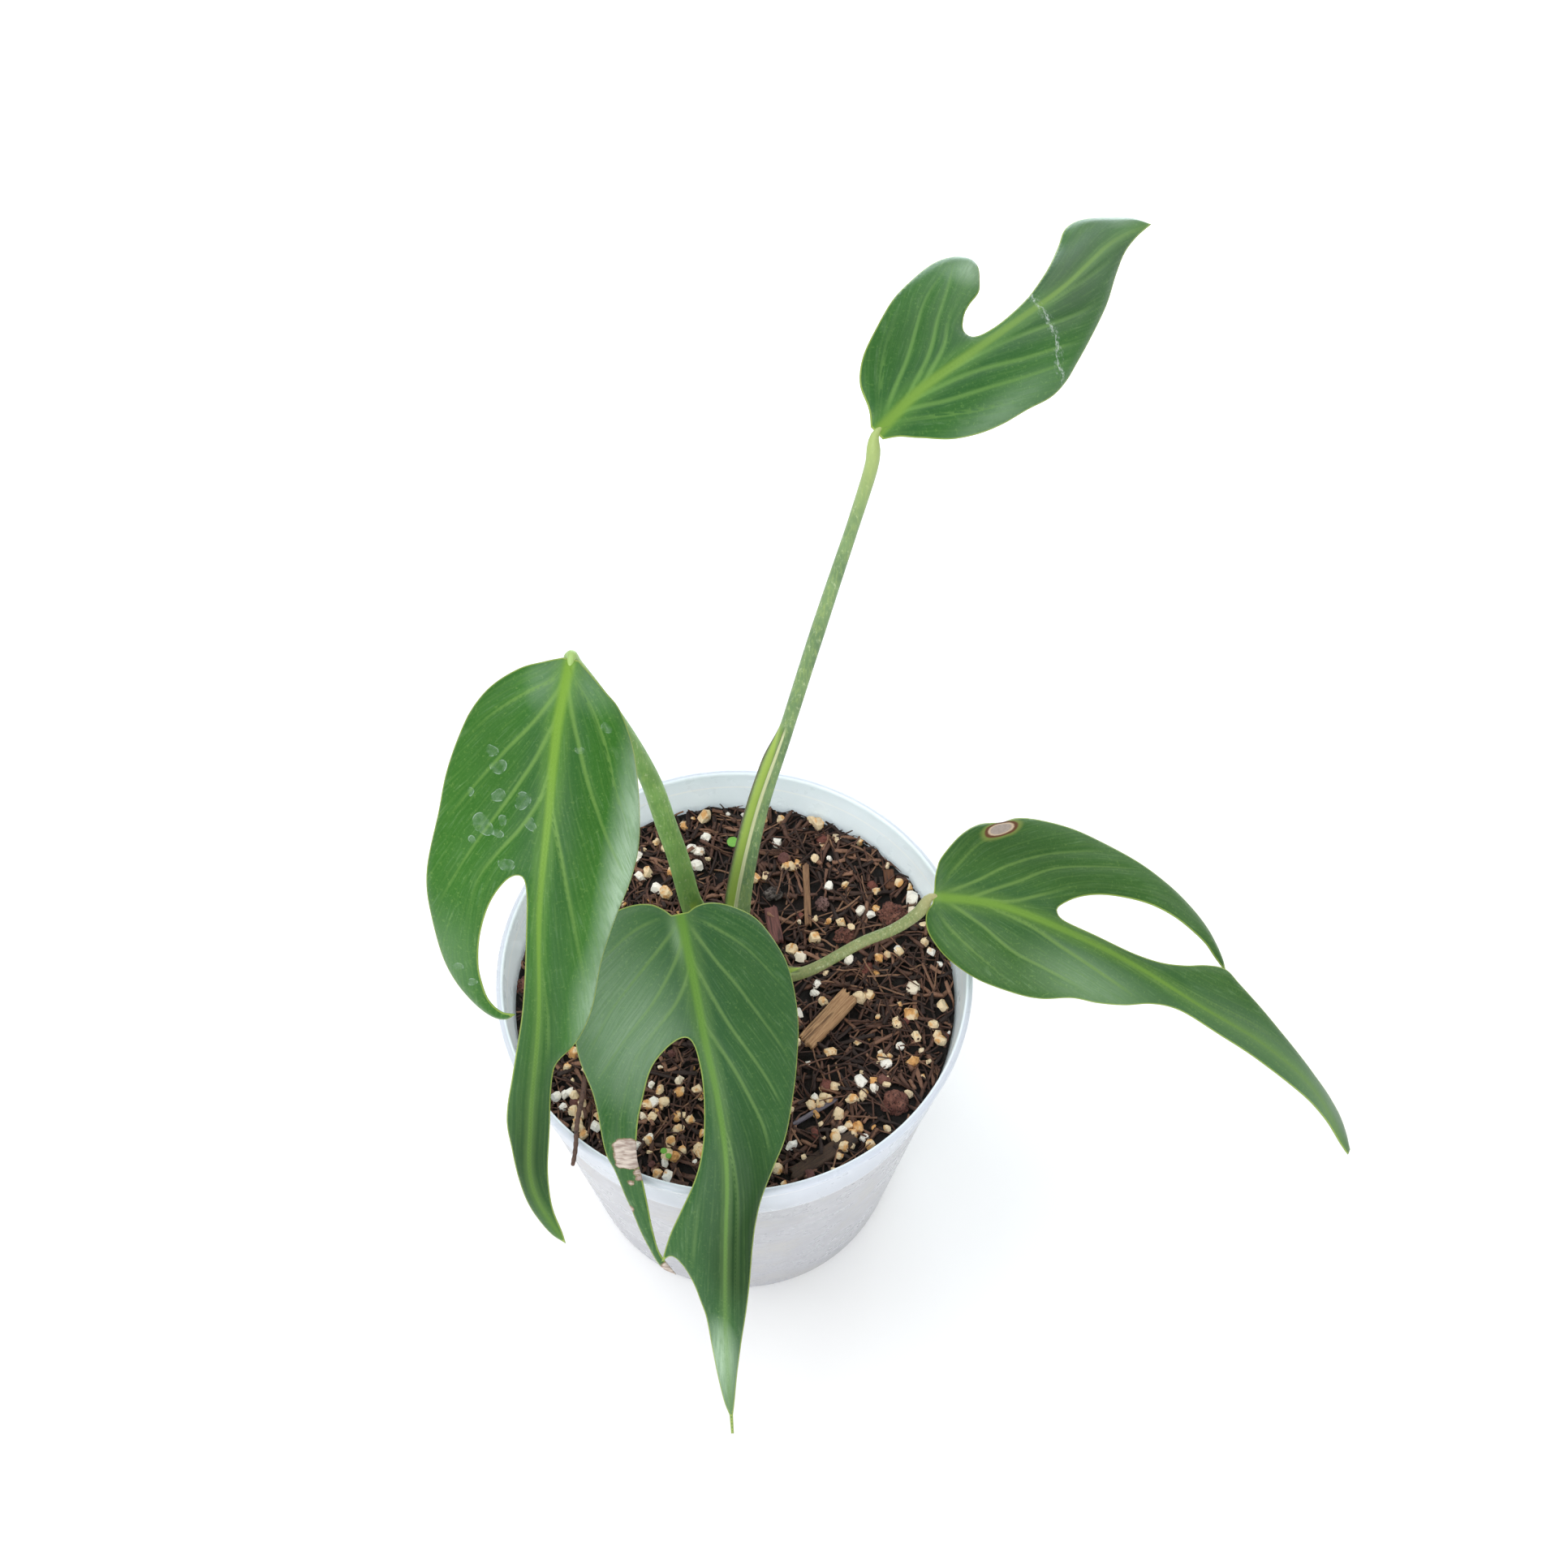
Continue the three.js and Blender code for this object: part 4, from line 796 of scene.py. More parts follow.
def make_leaf(name, material):
    leaf, surface = LEAVES[name], surfaces[name]
    flat, triangles, margin = flat_triangles(leaf["outline"])
    x, y = flat.T
    left, right = [vein_number(VEINS[name][half], x, y) for half in ("left", "right")]
    number = np.where(x > 0, left[0], right[0])
    gap = np.where(x > 0, left[1], right[1])
    swell, groove = leaf_relief(flat, margin, number, gap, surface.length)
    middle, normal = surface.point(x, y), surface.normal(x, y)
    middle = middle + normal * swell[:, None]
    inner = fade(margin, 0, THINNED_EDGE)
    thick = EDGE_HALF_THICK + (HALF_THICK - EDGE_HALF_THICK) * inner
    taper = np.clip(1 - y / surface.length, 0, 1)
    ridge = fade(1 - np.abs(x) / RIB_HALF_WIDTH, 0, 1) * RIB_HEIGHT * taper
    near = np.abs(number - np.round(number)) * gap
    ridge = ridge + 0.22 * np.exp(-((near / 0.5) ** 2)) * fade(margin, 1, 6)
    upper = middle + normal * (thick - groove * inner)[:, None]
    lower = middle - normal * (thick + ridge)[:, None]
    # On a leaf the tone attribute holds painted light: painted sheen above zero, painted shade below.
    facts = {
        "vein_number": number,
        "vein_gap": gap,
        "margin": margin,
        "mark": MARKS[name](x, y),
        "tone": painted_light_at(PAINTED_LIGHT_SPOTS[name], x, y),
    }
    facts = {key: np.tile(values, 2) for key, values in facts.items()}
    facts["upper_face"] = np.repeat([1.0, 0.0], len(flat))
    flat_map = np.tile((flat + MAP_ORIGIN) / MAP_SIZE, (2, 1))
    points, faces = np.vstack([upper, lower]), both_faces(flat, triangles)
    piece = mesh_from(f"leaf_{name}", points, faces, material, facts, flat_map)
    print(piece.name, len(piece.data.polygons), "faces")
    return piece


print("leaf points are", LEAF_SPACING, "mm apart")

# %% [markdown]
# ### Leaf finish
# Up close the upper face is a waxy mid green, mottled by cells, with pale thread-like veins, wide
# yellow-green ones and a pale line along the very edge. The flat map gives across and along in the
# leaf, so the mottling stretches along the veins and not along the room. The underside is paler and
# duller.

# %% Leaf patterns
LEAF_GLOSS = 0.33


def leaf_facts(board, place):
    names = ("vein_number", "vein_gap", "margin", "mark", "upper_face", "tone")
    facts = {name: board.read(name) for name in names}
    flat = board.node("ShaderNodeUVMap", uv_map="flat").outputs[0]
    flat = board.vector("MULTIPLY", flat, (MAP_SIZE, MAP_SIZE, 0))
    split = board.node("ShaderNodeSeparateXYZ", {"Vector": flat})
    facts["out"] = board.away(split.outputs[0], MAP_ORIGIN[0])
    facts["along"] = board.math("SUBTRACT", split.outputs[1], MAP_ORIGIN[1])
    facts["waver"] = board.noise(place, 5, detail=2)
    facts["cells"] = board.noise(place, 0.7, detail=3, rough=0.7)
    sockets = {"X": board.times(facts["vein_number"], 0.05), "Y": board.times(facts["along"], 0.0004)}
    streak_place = board.node("ShaderNodeCombineXYZ", sockets).outputs[0]
    facts["streaks"] = board.noise(streak_place, 3.0, detail=3, rough=0.6)
    # Painted sheen: where the tone is above zero, pale streaks stand for a highlight on the wax.
    painted_shine = board.ramp(facts["streaks"], 0.3, 0.62, 0.62, 1.1)
    facts["sheen"] = board.times(board.math("MAXIMUM", facts["tone"], 0.0), painted_shine)
    return facts


def thin_veins(board, facts, steps, width):
    turned = board.math("FRACT", board.times(facts["vein_number"], steps))
    apart = board.math("DIVIDE", facts["vein_gap"], steps)
    line = board.ramp(board.times(board.away(turned, 0.5), apart), width, 0.0)
    return board.times(line, board.ramp(apart, width * 1.2, width * 4))


def strong_veins(board, facts):
    fraction = board.math("FRACT", facts["vein_number"])
    nearer = board.math("MINIMUM", fraction, board.math("SUBTRACT", 1.0, fraction))
    to_vein = board.times(nearer, facts["vein_gap"])
    width = board.ramp(facts["out"], 0.0, 26.0, 0.85, 0.48)
    strong = board.ramp(to_vein, width, board.times(width, 0.1))
    strong = board.times(strong, board.ramp(facts["margin"], 1.0, 7.0))
    strong = board.times(strong, board.ramp(facts["out"], 24.0, 4.0, 0.28, 0.55))
    return board.times(strong, board.ramp(facts["along"], 45.0, 80.0, 1.0, 0.5))


def midrib_and_flank(board, facts):
    width = board.math("MULTIPLY_ADD", facts["along"], -0.0185, 2.1)
    width = board.math("MAXIMUM", width, 0.7)
    beside = board.ramp(facts["out"], board.times(width, 2.6), width)
    rib = board.ramp(facts["out"], width, board.times(width, 0.2))
    rib = board.times(rib, board.ramp(facts["along"], 60.0, 0.0, 0.62, 0.85))
    return board.times(rib, board.ramp(facts["along"], 60.0, 115.0, 1.0, 0.32)), beside


print("leaf gloss", LEAF_GLOSS)

# %% [markdown]
# The layers go on as a painter would lay them: the mottled green, darker beside the midrib and with
# painted shade where the tone is below zero, then the painted sheen where it is above, the thin, broad
# and strong veins, the midrib and the pale edge, and at last the leaf's own mark. Strong veins and the
# midrib fade towards the tail.


# %% Leaf finish
def mottled_green(board, place, facts, dark, light, vein):
    clouds = board.noise(place, 22, detail=3)
    specks = board.noise(place, 0.9, detail=2, rough=0.8)
    streaks = facts["streaks"]
    green = board.blend(clouds, dark, light)
    green = board.blend(board.ramp(facts["cells"], 0.45, 0.7, 0.0, 0.6), green, light)
    green = board.blend(board.ramp(specks, 0.56, 0.72, 0.0, 0.35), green, vein)
    green = board.blend(board.ramp(streaks, 0.4, 0.75, 0.0, 0.4), green, dark)
    green = board.blend(board.ramp(streaks, 0.46, 0.28, 0.0, 0.16), green, "#8fae83")
    flank = board.times(board.ramp(facts["out"], 1.5, 3.5), board.ramp(facts["out"], 10.0, 4.0))
    green = board.blend(board.times(flank, 0.3), green, "#2f5238")
    # Painted shade: where the tone is below zero the green turns deep, as the hanging tails get less light.
    painted_shade = board.math("MULTIPLY", facts["tone"], -1.0, clamp=True)
    green = board.blend(painted_shade, green, "#1c3d16")
    # Painted sheen: a pale waxy green laid where the tone is above zero.
    return board.blend(board.math("MINIMUM", facts["sheen"], 0.85), green, "#adc9ab")


def leaf_finish(name, dark, light, vein, midrib, underside, marked):
    material, board, place = start_finish(name)
    facts = leaf_facts(board, place)
    cells = facts["cells"]
    fine = thin_veins(board, facts, 11.0, 0.4)
    broad = board.times(thin_veins(board, facts, 3.0, 0.4), board.ramp(facts["waver"], 0.3, 0.7))
    strong = strong_veins(board, facts)
    rib, beside = midrib_and_flank(board, facts)

    green = mottled_green(board, place, facts, dark, light, vein)
    green = board.blend(board.times(fine, 0.1), green, vein)
    green = board.blend(board.times(broad, 0.13), green, vein)
    green = board.blend(strong, green, vein)
    green = board.blend(board.times(beside, 0.2), green, vein)
    green = board.blend(rib, green, midrib)
    green = board.blend(board.times(board.ramp(facts["margin"], 0.42, 0.15), 0.7), green, "#a3b65a")

    below = board.blend(board.math("MAXIMUM", rib, strong), underside, "#a8bf78")
    below = board.blend(board.ramp(cells, 0.3, 0.8, 0.0, 0.35), below, light)
    colour = board.blend(board.ramp(facts["upper_face"], 0.35, 0.65), below, green)
    rough = board.ramp(cells, 0.2, 0.8, LEAF_GLOSS - 0.04, LEAF_GLOSS + 0.1)
    rough = board.math("MULTIPLY_ADD", facts["sheen"], -0.08, rough)
    colour, rough = marked(board, place, colour, rough, facts["mark"], facts["waver"])
    lines = board.math("MULTIPLY_ADD", fine, -0.5, board.times(cells, 0.7))
    end_finish(board, colour, rough, lines, 0.05, Specular_IOR_Level=0.18)
    return material


print("leaf finish layers are ready")

# %% [markdown]
# ### Finishes of the marks
# Each mark is laid over the leaf's own colour and roughness. Water rings are a thin pale line with a
# film inside, dead skin is a fibrous husk, a scratch is a line of pale flecks, and the dry spot is a
# corky dot in a yellow ring.


# %% Finishes of the marks
def ringed(board, place, colour, rough, mark, waver):
    speck = board.noise(place, 1.6, detail=3)
    line = board.ramp(board.math("ABSOLUTE", mark), 0.2, 0.04)
    line = board.times(line, board.ramp(speck, 0.42, 0.64, 0.0, 0.36))
    film = board.times(board.ramp(mark, 0.1, -0.3), board.ramp(speck, 0.3, 0.7, 0.02, 0.12))
    shown = board.math("MAXIMUM", line, film)
    return board.blend(shown, colour, "#c5d6d0"), board.math("MULTIPLY_ADD", shown, 0.2, rough)


def deadened(board, place, colour, rough, mark, waver):
    chip = board.noise(place, 1.8, detail=3, rough=0.7)
    torn = board.math("ADD", mark, board.math("MULTIPLY_ADD", chip, 1.8, -0.9))
    patch = board.ramp(torn, 0.25, -0.15)
    ring = board.ramp(board.math("ABSOLUTE", torn), 0.4, 0.05)
    grain = board.noise(board.stretched(place, (0.2, 1, 1)), 0.7, detail=3)
    husk = board.blend(board.ramp(grain, 0.3, 0.7), "#94837a", "#c9bdb2")
    colour = board.blend(patch, colour, husk)
    colour = board.blend(board.times(ring, 0.6), colour, "#7d6348")
    return colour, board.math("MULTIPLY_ADD", patch, 0.35, rough)


def scratched(board, place, colour, rough, mark, waver):
    speck = board.noise(place, 1.1, detail=4, rough=0.75)
    wander = board.noise(place, 3, detail=3, rough=0.7)
    off = board.math("ADD", mark, board.math("MULTIPLY_ADD", wander, 5.0, -2.5))
    off = board.math("ABSOLUTE", off)
    line = board.times(board.ramp(off, 0.5, 0.05), board.ramp(speck, 0.38, 0.62, 0.1, 0.7))
    haze = board.times(board.ramp(off, 2.2, 0.2), board.ramp(speck, 0.48, 0.66, 0.0, 0.45))
    shown = board.math("MAXIMUM", line, haze)
    return board.blend(shown, colour, "#c9d6ce"), board.math("MULTIPLY_ADD", shown, 0.3, rough)


def spotted(board, place, colour, rough, mark, waver):
    worn = board.math("ADD", mark, board.math("MULTIPLY_ADD", waver, 0.8, -0.4))
    grain = board.noise(place, 0.8, detail=4, rough=0.7)
    core = board.blend(grain, "#7f726a", "#aba097")
    colour = board.blend(board.ramp(worn, 1.1, 0.25, 0.0, 0.6), colour, "#7f8a45")
    colour = board.blend(board.ramp(worn, 0.35, 0.1), colour, "#5c3d28")
    colour = board.blend(board.ramp(worn, -0.1, -0.35), colour, "#b8a48c")
    colour = board.blend(board.ramp(worn, -0.35, -0.6), colour, core)
    return colour, board.math("MULTIPLY_ADD", board.ramp(worn, 0.2, 0.0), 0.35, rough)


print("mark finishes: rings, dead patch, scratch and dry spot")

# %% [markdown]
# The four leaves differ a little in green, as real ones do with age and light. Each row gives dark and
# light skin, side veins, midrib, underside, and the finish of the leaf's mark.

# %% Make the leaves
LEAF_FINISHES = {
    "left": ("#275c18", "#40732b", "#779c4e", "#739a33", "#6f9a56", ringed),
    "front": ("#2b5529", "#40673a", "#739454", "#628b36", "#6f9560", deadened),
    "top": ("#2a5c21", "#407233", "#729c4f", "#74983c", "#6f9a58", scratched),
    "right": ("#2d5421", "#456d34", "#73944c", "#6b9037", "#6d9355", spotted),
}
for name, looks in LEAF_FINISHES.items():
    piece = make_leaf(name, leaf_finish(f"leaf_{name}", *looks))
    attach(piece, "root")
    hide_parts(f"blade_{name}")

# %% [markdown]
# ## Stalks
# Each leaf hangs on a round stalk that is thick and sheathed at its foot. The sheath is the old
# wrapper of the next leaf: an open channel with a thin wing on each side. A ring of points swept along
# the stalk's curve makes both, because the ring's radius may dip for the channel and rise for wings.

# %% Stalk sizes
STALKS = {
    "left": {
        "path": [
            [-4, 9, 102], [-8.6, 12.5, 117], [-11.6, 14.8, 130], [-14.4, 17, 151.5],
            [-16.8, 17.7, 167], [-20.3, 18.4, 190], [-26, 17.4, 215], [-31.8, 15.2, 236.5],
            [-35, 13.6, 248.5],
        ],
        "radii": [3.1, 2.9, 2.7, 2.2, 1.9], "share": 0.22, "facing": [0.7, -0.7, 0],
    },
    "front": {
        "path": [
            [-3, 3, 102], [-6, 2, 117], [-10, -2, 134], [-12.6, -7, 149], [-13, -9.6, 160],
            [-13, -9.7, 163.8],
        ],
        "radii": [2.9, 2.5, 2.1, 1.8], "share": 0.4, "facing": [0.3, 0.95, 0],
    },
    "top": {
        "path": [
            [0.5, 8, 102], [1, 10, 120], [2, 13.6, 140], [6.9, 20.7, 170], [14, 27.2, 199],
            [20.2, 32, 227.5], [25, 35.2, 249.5], [29.6, 37.7, 271], [32.8, 38.6, 289],
        ],
        "radii": [3.3, 3, 2.3, 1.8, 1.8, 1.5, 1.6], "share": 0.5, "facing": [-0.92, -0.4, 0],
    },
    "right": {
        "path": [
            [1.5, 4, 102], [5, 0.5, 113], [11.5, -2.8, 121], [20.9, -3.6, 128], [34, 1.8, 133],
            [43, 4.8, 135.3], [49.5, 8.7, 137.2],
        ],
        "radii": [2.6, 1.8, 1.5, 1.5, 1.9], "share": 0.42, "facing": [0, 0.3, 0.95],
    },
}
RING_SIDES = 48
RING_SPACING = 1.2  # millimetres
CHANNEL_DEPTH = 0.5
WING = 1.5  # millimetres
WING_TURN = 48  # degrees from the middle of the channel to each wing
WING_SPREAD = 15  # degrees over which a wing thins out
TIP_RUN = 9  # millimetres before its end where the stalk starts to narrow


def swept(line, sides, radius_at):
    run = run_of(line)
    way = unit(np.gradient(line, axis=0))
    normal = unit(np.cross(way[0], (0.31, 0.62, 0.12)))
    rings = []
    for number, (centre, forward) in enumerate(zip(line, way)):
        normal = unit(normal - (normal @ forward) * forward)
        other = np.cross(forward, normal)
        angle = np.arange(sides) / sides * 2 * np.pi
        outward = np.cos(angle)[:, None] * normal + np.sin(angle)[:, None] * other
        rings.append(centre + outward * radius_at(run[number], run[-1], outward)[:, None])
    points = np.vstack(rings + [line[:1], line[-1:]])
    faces = []
    last = (len(line) - 1) * sides
    for side in range(sides):
        after = (side + 1) % sides
        for ring in range(0, last, sides):
            faces.append((ring + side, ring + after, ring + sides + after, ring + sides + side))
        faces.append((len(points) - 2, after, side))
        faces.append((len(points) - 1, last + side, last + after))
    return points, faces, run


def stalk_line(name):
    path = [list(p) for p in STALKS[name]["path"]]
    if name != "front":
        origin, _, up = surfaces[name].frame(np.array([-0.6, 4.0]))
        under = np.array([1.0, 1.5])
        path += [list(p) for p in origin - up * under[:, None]]
    return spaced(smooth_line(path), RING_SPACING)


def turn_from(facing, way, outward):
    across = np.cross(way, facing)
    return np.degrees(np.arctan2(outward @ across / np.linalg.norm(across), outward @ facing))


def make_stalk(name, material):
    stalk = STALKS[name]
    facing = unit(np.array(stalk["facing"], float))
    turns = []

    def radius_at(at, length, outward):
        share = at / length
        way = np.cross(outward[0], outward[1])
        turn = turn_from(facing, way, outward)
        turns.append(turn)
        opened = fade(stalk["share"] - share, 0, 0.08)
        channel = CHANNEL_DEPTH * opened * np.cos(np.radians(np.clip(turn * 1.9, -90, 90)))
        wing = WING * opened * np.exp(-(((np.abs(turn) - WING_TURN) / WING_SPREAD) ** 2))
        end = 1 - 0.75 * fade(at, length - TIP_RUN, length - 1)
        return spread(stalk["radii"], share) * (1 - channel) * end + wing

    line = stalk_line(name)
    points, faces, run = swept(line, RING_SIDES, radius_at)
    shares = np.append(np.repeat(run / run[-1], RING_SIDES), [0, 1])
    attributes = {
        "share": shares,
        "turn": np.append(np.concatenate(turns), [180, 180]),
        "below_open": stalk["share"] - shares,
    }
    piece = mesh_from(f"stalk_{name}", points, faces, material, attributes)
    print(piece.name, round(run[-1]), "mm long")
    return piece


# %% [markdown]
# The stalk's skin is smooth and pale green with fine upright wrinkles, lighter just under the leaf.
# The sheath's channel and its two edges are coloured by distance along the stalk and turn round it,
# so they bend with the stalk. Each row below gives dark and light skin, the skin under the leaf, the
# sheath's two edges and its channel.


# %% Stalk finish
def stalk_finish(name, dark, light, top, first_edge, second_edge, channel_green):
    material, board, place = start_finish(name)
    share, turn, below_open = [board.read(key) for key in ("share", "turn", "below_open")]
    squeezed = board.stretched(place, (1, 1, 0.12))
    wrinkles = board.noise(squeezed, 0.55, detail=3, rough=0.65)
    pores = board.noise(board.stretched(place, (1, 1, 0.5)), 0.9, detail=3, rough=0.7)
    clouds = board.noise(place, 9, detail=3)
    colour = board.blend(board.ramp(clouds, 0.3, 0.7), dark, light)
    colour = board.blend(board.ramp(wrinkles, 0.42, 0.75, 0.0, 0.5), colour, top)
    colour = board.blend(board.ramp(pores, 0.55, 0.72, 0.0, 0.45), colour, "#c9d6a8")
    colour = board.blend(board.ramp(share, 0.82, 0.98, 0.0, 0.85), colour, top)
    opened = board.ramp(below_open, -0.005, 0.02)
    off = board.math("ABSOLUTE", turn)
    channel = board.times(board.ramp(off, 46.0, 30.0), opened)
    inside = board.blend(board.ramp(turn, 22.0, -30.0), channel_green, "#9fb84c")
    colour = board.blend(board.times(channel, 0.9), colour, inside)
    crease = board.times(board.ramp(board.away(turn, 36.0), 6.0, 2.0), board.times(opened, 0.7))
    colour = board.blend(crease, colour, first_edge)
    middle = board.ramp(turn, -5.0, 5.0, WING_TURN + 8.0, float(WING_TURN))
    reach = board.ramp(turn, -5.0, 5.0, 20.0, 11.0)
    wing = board.ramp(board.away(off, middle), reach, board.times(reach, 0.5))
    wing = board.times(wing, board.times(opened, board.ramp(pores, 0.2, 0.4, 0.5, 0.95)))
    edge = board.blend(board.ramp(turn, -5.0, 5.0), first_edge, second_edge)
    colour = board.blend(wing, colour, edge)
    end_finish(board, colour, board.ramp(wrinkles, 0, 1, 0.38, 0.6), wrinkles, 0.12)
    return material


print("stalk wings stand", WING, "mm out,", WING_TURN, "degrees from the channel")

# %% Make the stalks
STALK_FINISHES = {
    "left": ("#658f45", "#79a457", "#a1c06d", "#6f8f4c", "#8fae66", "#6b9247"),
    "front": ("#6a9049", "#7fa65c", "#a9c273", "#6f8f4c", "#8fae66", "#6b9247"),
    "top": ("#5c7c4e", "#77955e", "#a3b66b", "#46301f", "#c3c79a", "#6f9126"),
    "right": ("#6d7e46", "#8b9160", "#aaa572", "#4d4a2c", "#8c9a63", "#5d6f38"),
}
for name, colours in STALK_FINISHES.items():
    piece = make_stalk(name, stalk_finish(f"stalk_skin_{name}", *colours))
    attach(piece, "root")
    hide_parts(f"petiole_{name}")

# %% [markdown]
# ## Stem
# The stalks grow from a short cane whose rings are the scars of old leaves. Most of it is buried, and
# a few roots bend down from it into the mix. The cane is swept like a stalk, with a radius that swells
# at each ring.

# %% Stem
STEM_CENTRE = (-1, 6)  # across and back, in millimetres as all sizes here
STEM_RADIUS = 5.5
STEM_TOP = 116
STEM_BOTTOM = 66
STEM_JOINTS = 5
STEM_RINGS = 90
ROOT_COUNT = 6


def stem_finish():
    material, board, place = start_finish("stem_bark")
    clouds = board.noise(place, 4, detail=4)
    rings = board.noise(board.stretched(place, (0.2, 0.2, 1)), 0.8, detail=3)
    colour = board.blend(board.ramp(clouds, 0.35, 0.65), "#5b6b39", "#8b9a60")
    colour = board.blend(board.ramp(rings, 0.5, 0.7, 0.0, 0.6), colour, "#6b5338")
    end_finish(board, colour, board.ramp(rings, 0, 1, 0.55, 0.75), rings, 0.3)
    return material


def cane_radius(at, length, outward):
    share = at / length
    joint = share * STEM_JOINTS % 1
    swell = 0.9 + 0.12 * np.exp(-((min(joint, 1 - joint) / 0.12) ** 2))
    radius = STEM_RADIUS * (0.75 + 0.25 * share) * swell * (1 - 0.55 * fade(share, 0.9, 1))
    return np.full(len(outward), radius)


def root_radius(at, length, outward):
    return np.full(len(outward), 1.7 - 0.9 * at / length)


def make_stem():
    line = np.linspace((*STEM_CENTRE, STEM_BOTTOM), (*STEM_CENTRE, STEM_TOP), STEM_RINGS)
    points, faces, _ = swept(line, 40, cane_radius)
    for root in range(ROOT_COUNT):
        angle = root / ROOT_COUNT * 2 * math.pi + 0.4
        reach = 20 + 5 * (root % 3)
        start = 72 + 5 * (root % 4)
        path = [
            [
                STEM_CENTRE[0] + reach * t * math.cos(angle + 0.5 * t),
                STEM_CENTRE[1] + reach * t * math.sin(angle + 0.5 * t),
                start - 34 * t * t,
            ]
            for t in (0, 0.3, 0.7, 1)
        ]
        root_points, root_faces, _ = swept(spaced(smooth_line(path), 2.5), 10, root_radius)
        faces += [tuple(i + len(points) for i in face) for face in root_faces]
        points = np.vstack([points, root_points])
    return mesh_from("stem_cane", points, faces, stem_finish())


stem = make_stem()
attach(stem, "root")
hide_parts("stem")
print("stem faces:", len(stem.data.polygons))

# %% [markdown]
# ## Pot
# A thin injection-moulded nursery pot: a tapered wall, a smooth band below the rim that ends in a fine
# step, a rounded lip, and a ring of drainage holes. Its wall is turned from a profile, and Geometry
# Nodes cut the holes, because one hole repeated round a circle is a rule.

# %% Pot
POT_HEIGHT = 120  # all sizes are in millimetres, as in the solid model
RIM_RADIUS = 65
FOOT_RADIUS = 47
WALL_TOP_RADIUS = 61
WALL = 1.2
BASE = 1.4
BAND_BOTTOM = 98
STEP = 0.5
LIP_BOTTOM = 117.4
LIP_OVERHANG = 0.7
POT_SIDES = 144


def outer_radius(height):
    if height < BAND_BOTTOM:
        return FOOT_RADIUS + (WALL_TOP_RADIUS - FOOT_RADIUS) * height / BAND_BOTTOM
    share = (height - BAND_BOTTOM) / (POT_HEIGHT - BAND_BOTTOM)
    return WALL_TOP_RADIUS + STEP + (RIM_RADIUS - LIP_OVERHANG - WALL_TOP_RADIUS - STEP) * share


def inner_radius(height):
    return outer_radius(height) - WALL


def pot_profile():
    wall = [(outer_radius(h), h) for h in np.linspace(4, BAND_BOTTOM - 0.6, 16)]
    band = [(outer_radius(h), h) for h in np.linspace(BAND_BOTTOM + 0.5, LIP_BOTTOM - 0.4, 6)]
    inside = [(inner_radius(h), h) for h in np.linspace(LIP_BOTTOM - 0.6, BAND_BOTTOM + 0.6, 6)]
    inside += [(inner_radius(h), h) for h in np.linspace(BAND_BOTTOM - 0.6, BASE + 3, 16)]
    return [
        (0, 0.5), (38, 0.5), (38.6, 0.1), (39.2, 0), (46, 0), (46.6, 0.2), (46.95, 0.7), (47.15, 1.6),
        *wall,
        (WALL_TOP_RADIUS, BAND_BOTTOM - 0.1),
        (WALL_TOP_RADIUS + 0.3, BAND_BOTTOM),
        (WALL_TOP_RADIUS + STEP, BAND_BOTTOM + 0.15),
        *band,
        (64.35, 117.4), (64.75, 117.6), (64.95, 118), (65, 118.6), (64.95, 119.2), (64.75, 119.7),
        (64.4, 119.95), (64, 120), (63.5, 119.95), (63.2, 119.7), (63.05, 119.2), (63, 118.4),
        *inside,
        (inner_radius(BASE + 1.2), BASE + 1.4),
        (inner_radius(BASE) - 0.8, BASE + 0.3),
        (inner_radius(BASE) - 1.8, BASE),
        (0, BASE),
    ]


def turned(profile, sides):
    rings = [(radius, height) for radius, height in profile if radius > 0]
    angle = np.arange(sides) / sides * 2 * np.pi
    points = [(r * math.cos(a), r * math.sin(a), z) for r, z in rings for a in angle]
    faces = []
    for ring in range(len(rings) - 1):
        for side in range(sides):
            here, after = ring * sides + side, ring * sides + (side + 1) % sides
            faces.append((here, after, after + sides, here + sides))
    points += [(0, 0, profile[0][1]), (0, 0, profile[-1][1])]
    last = (len(rings) - 1) * sides
    for side in range(sides):
        after = (side + 1) % sides
        faces.append((len(points) - 2, after, side))
        faces.append((len(points) - 1, last + side, last + after))
    return points, faces


print("pot", POT_HEIGHT, "mm high and", 2 * RIM_RADIUS, "mm across the rim")

# %% [markdown]
# The plastic is milky: light soaks in, so it has no hard colour of its own. Above the mix it reads as
# a cool near-white, and its inner face is painted paler and bluer, a painted glow for light shining
# through the wall from behind. Below it the dark mix shows through as a soft grey, with smears and
# specks where bark touches the wall. What shows through is a pattern by height, with fine lines at
# the step and at a ring above it.


# %% Pot finish
BAND_SLOPE = 0.1273  # how much the band's radius grows for each metre of height
BAND_INSIDE = (0.0487, 0.0481)  # metres, between the band's outer and inner face less that slope
MIX_SHOWS = (0.0985, 0.0965)  # metres: clear above the first, filled below the second
STEP_LINE = 0.0982
MOULD_RING = 0.1142


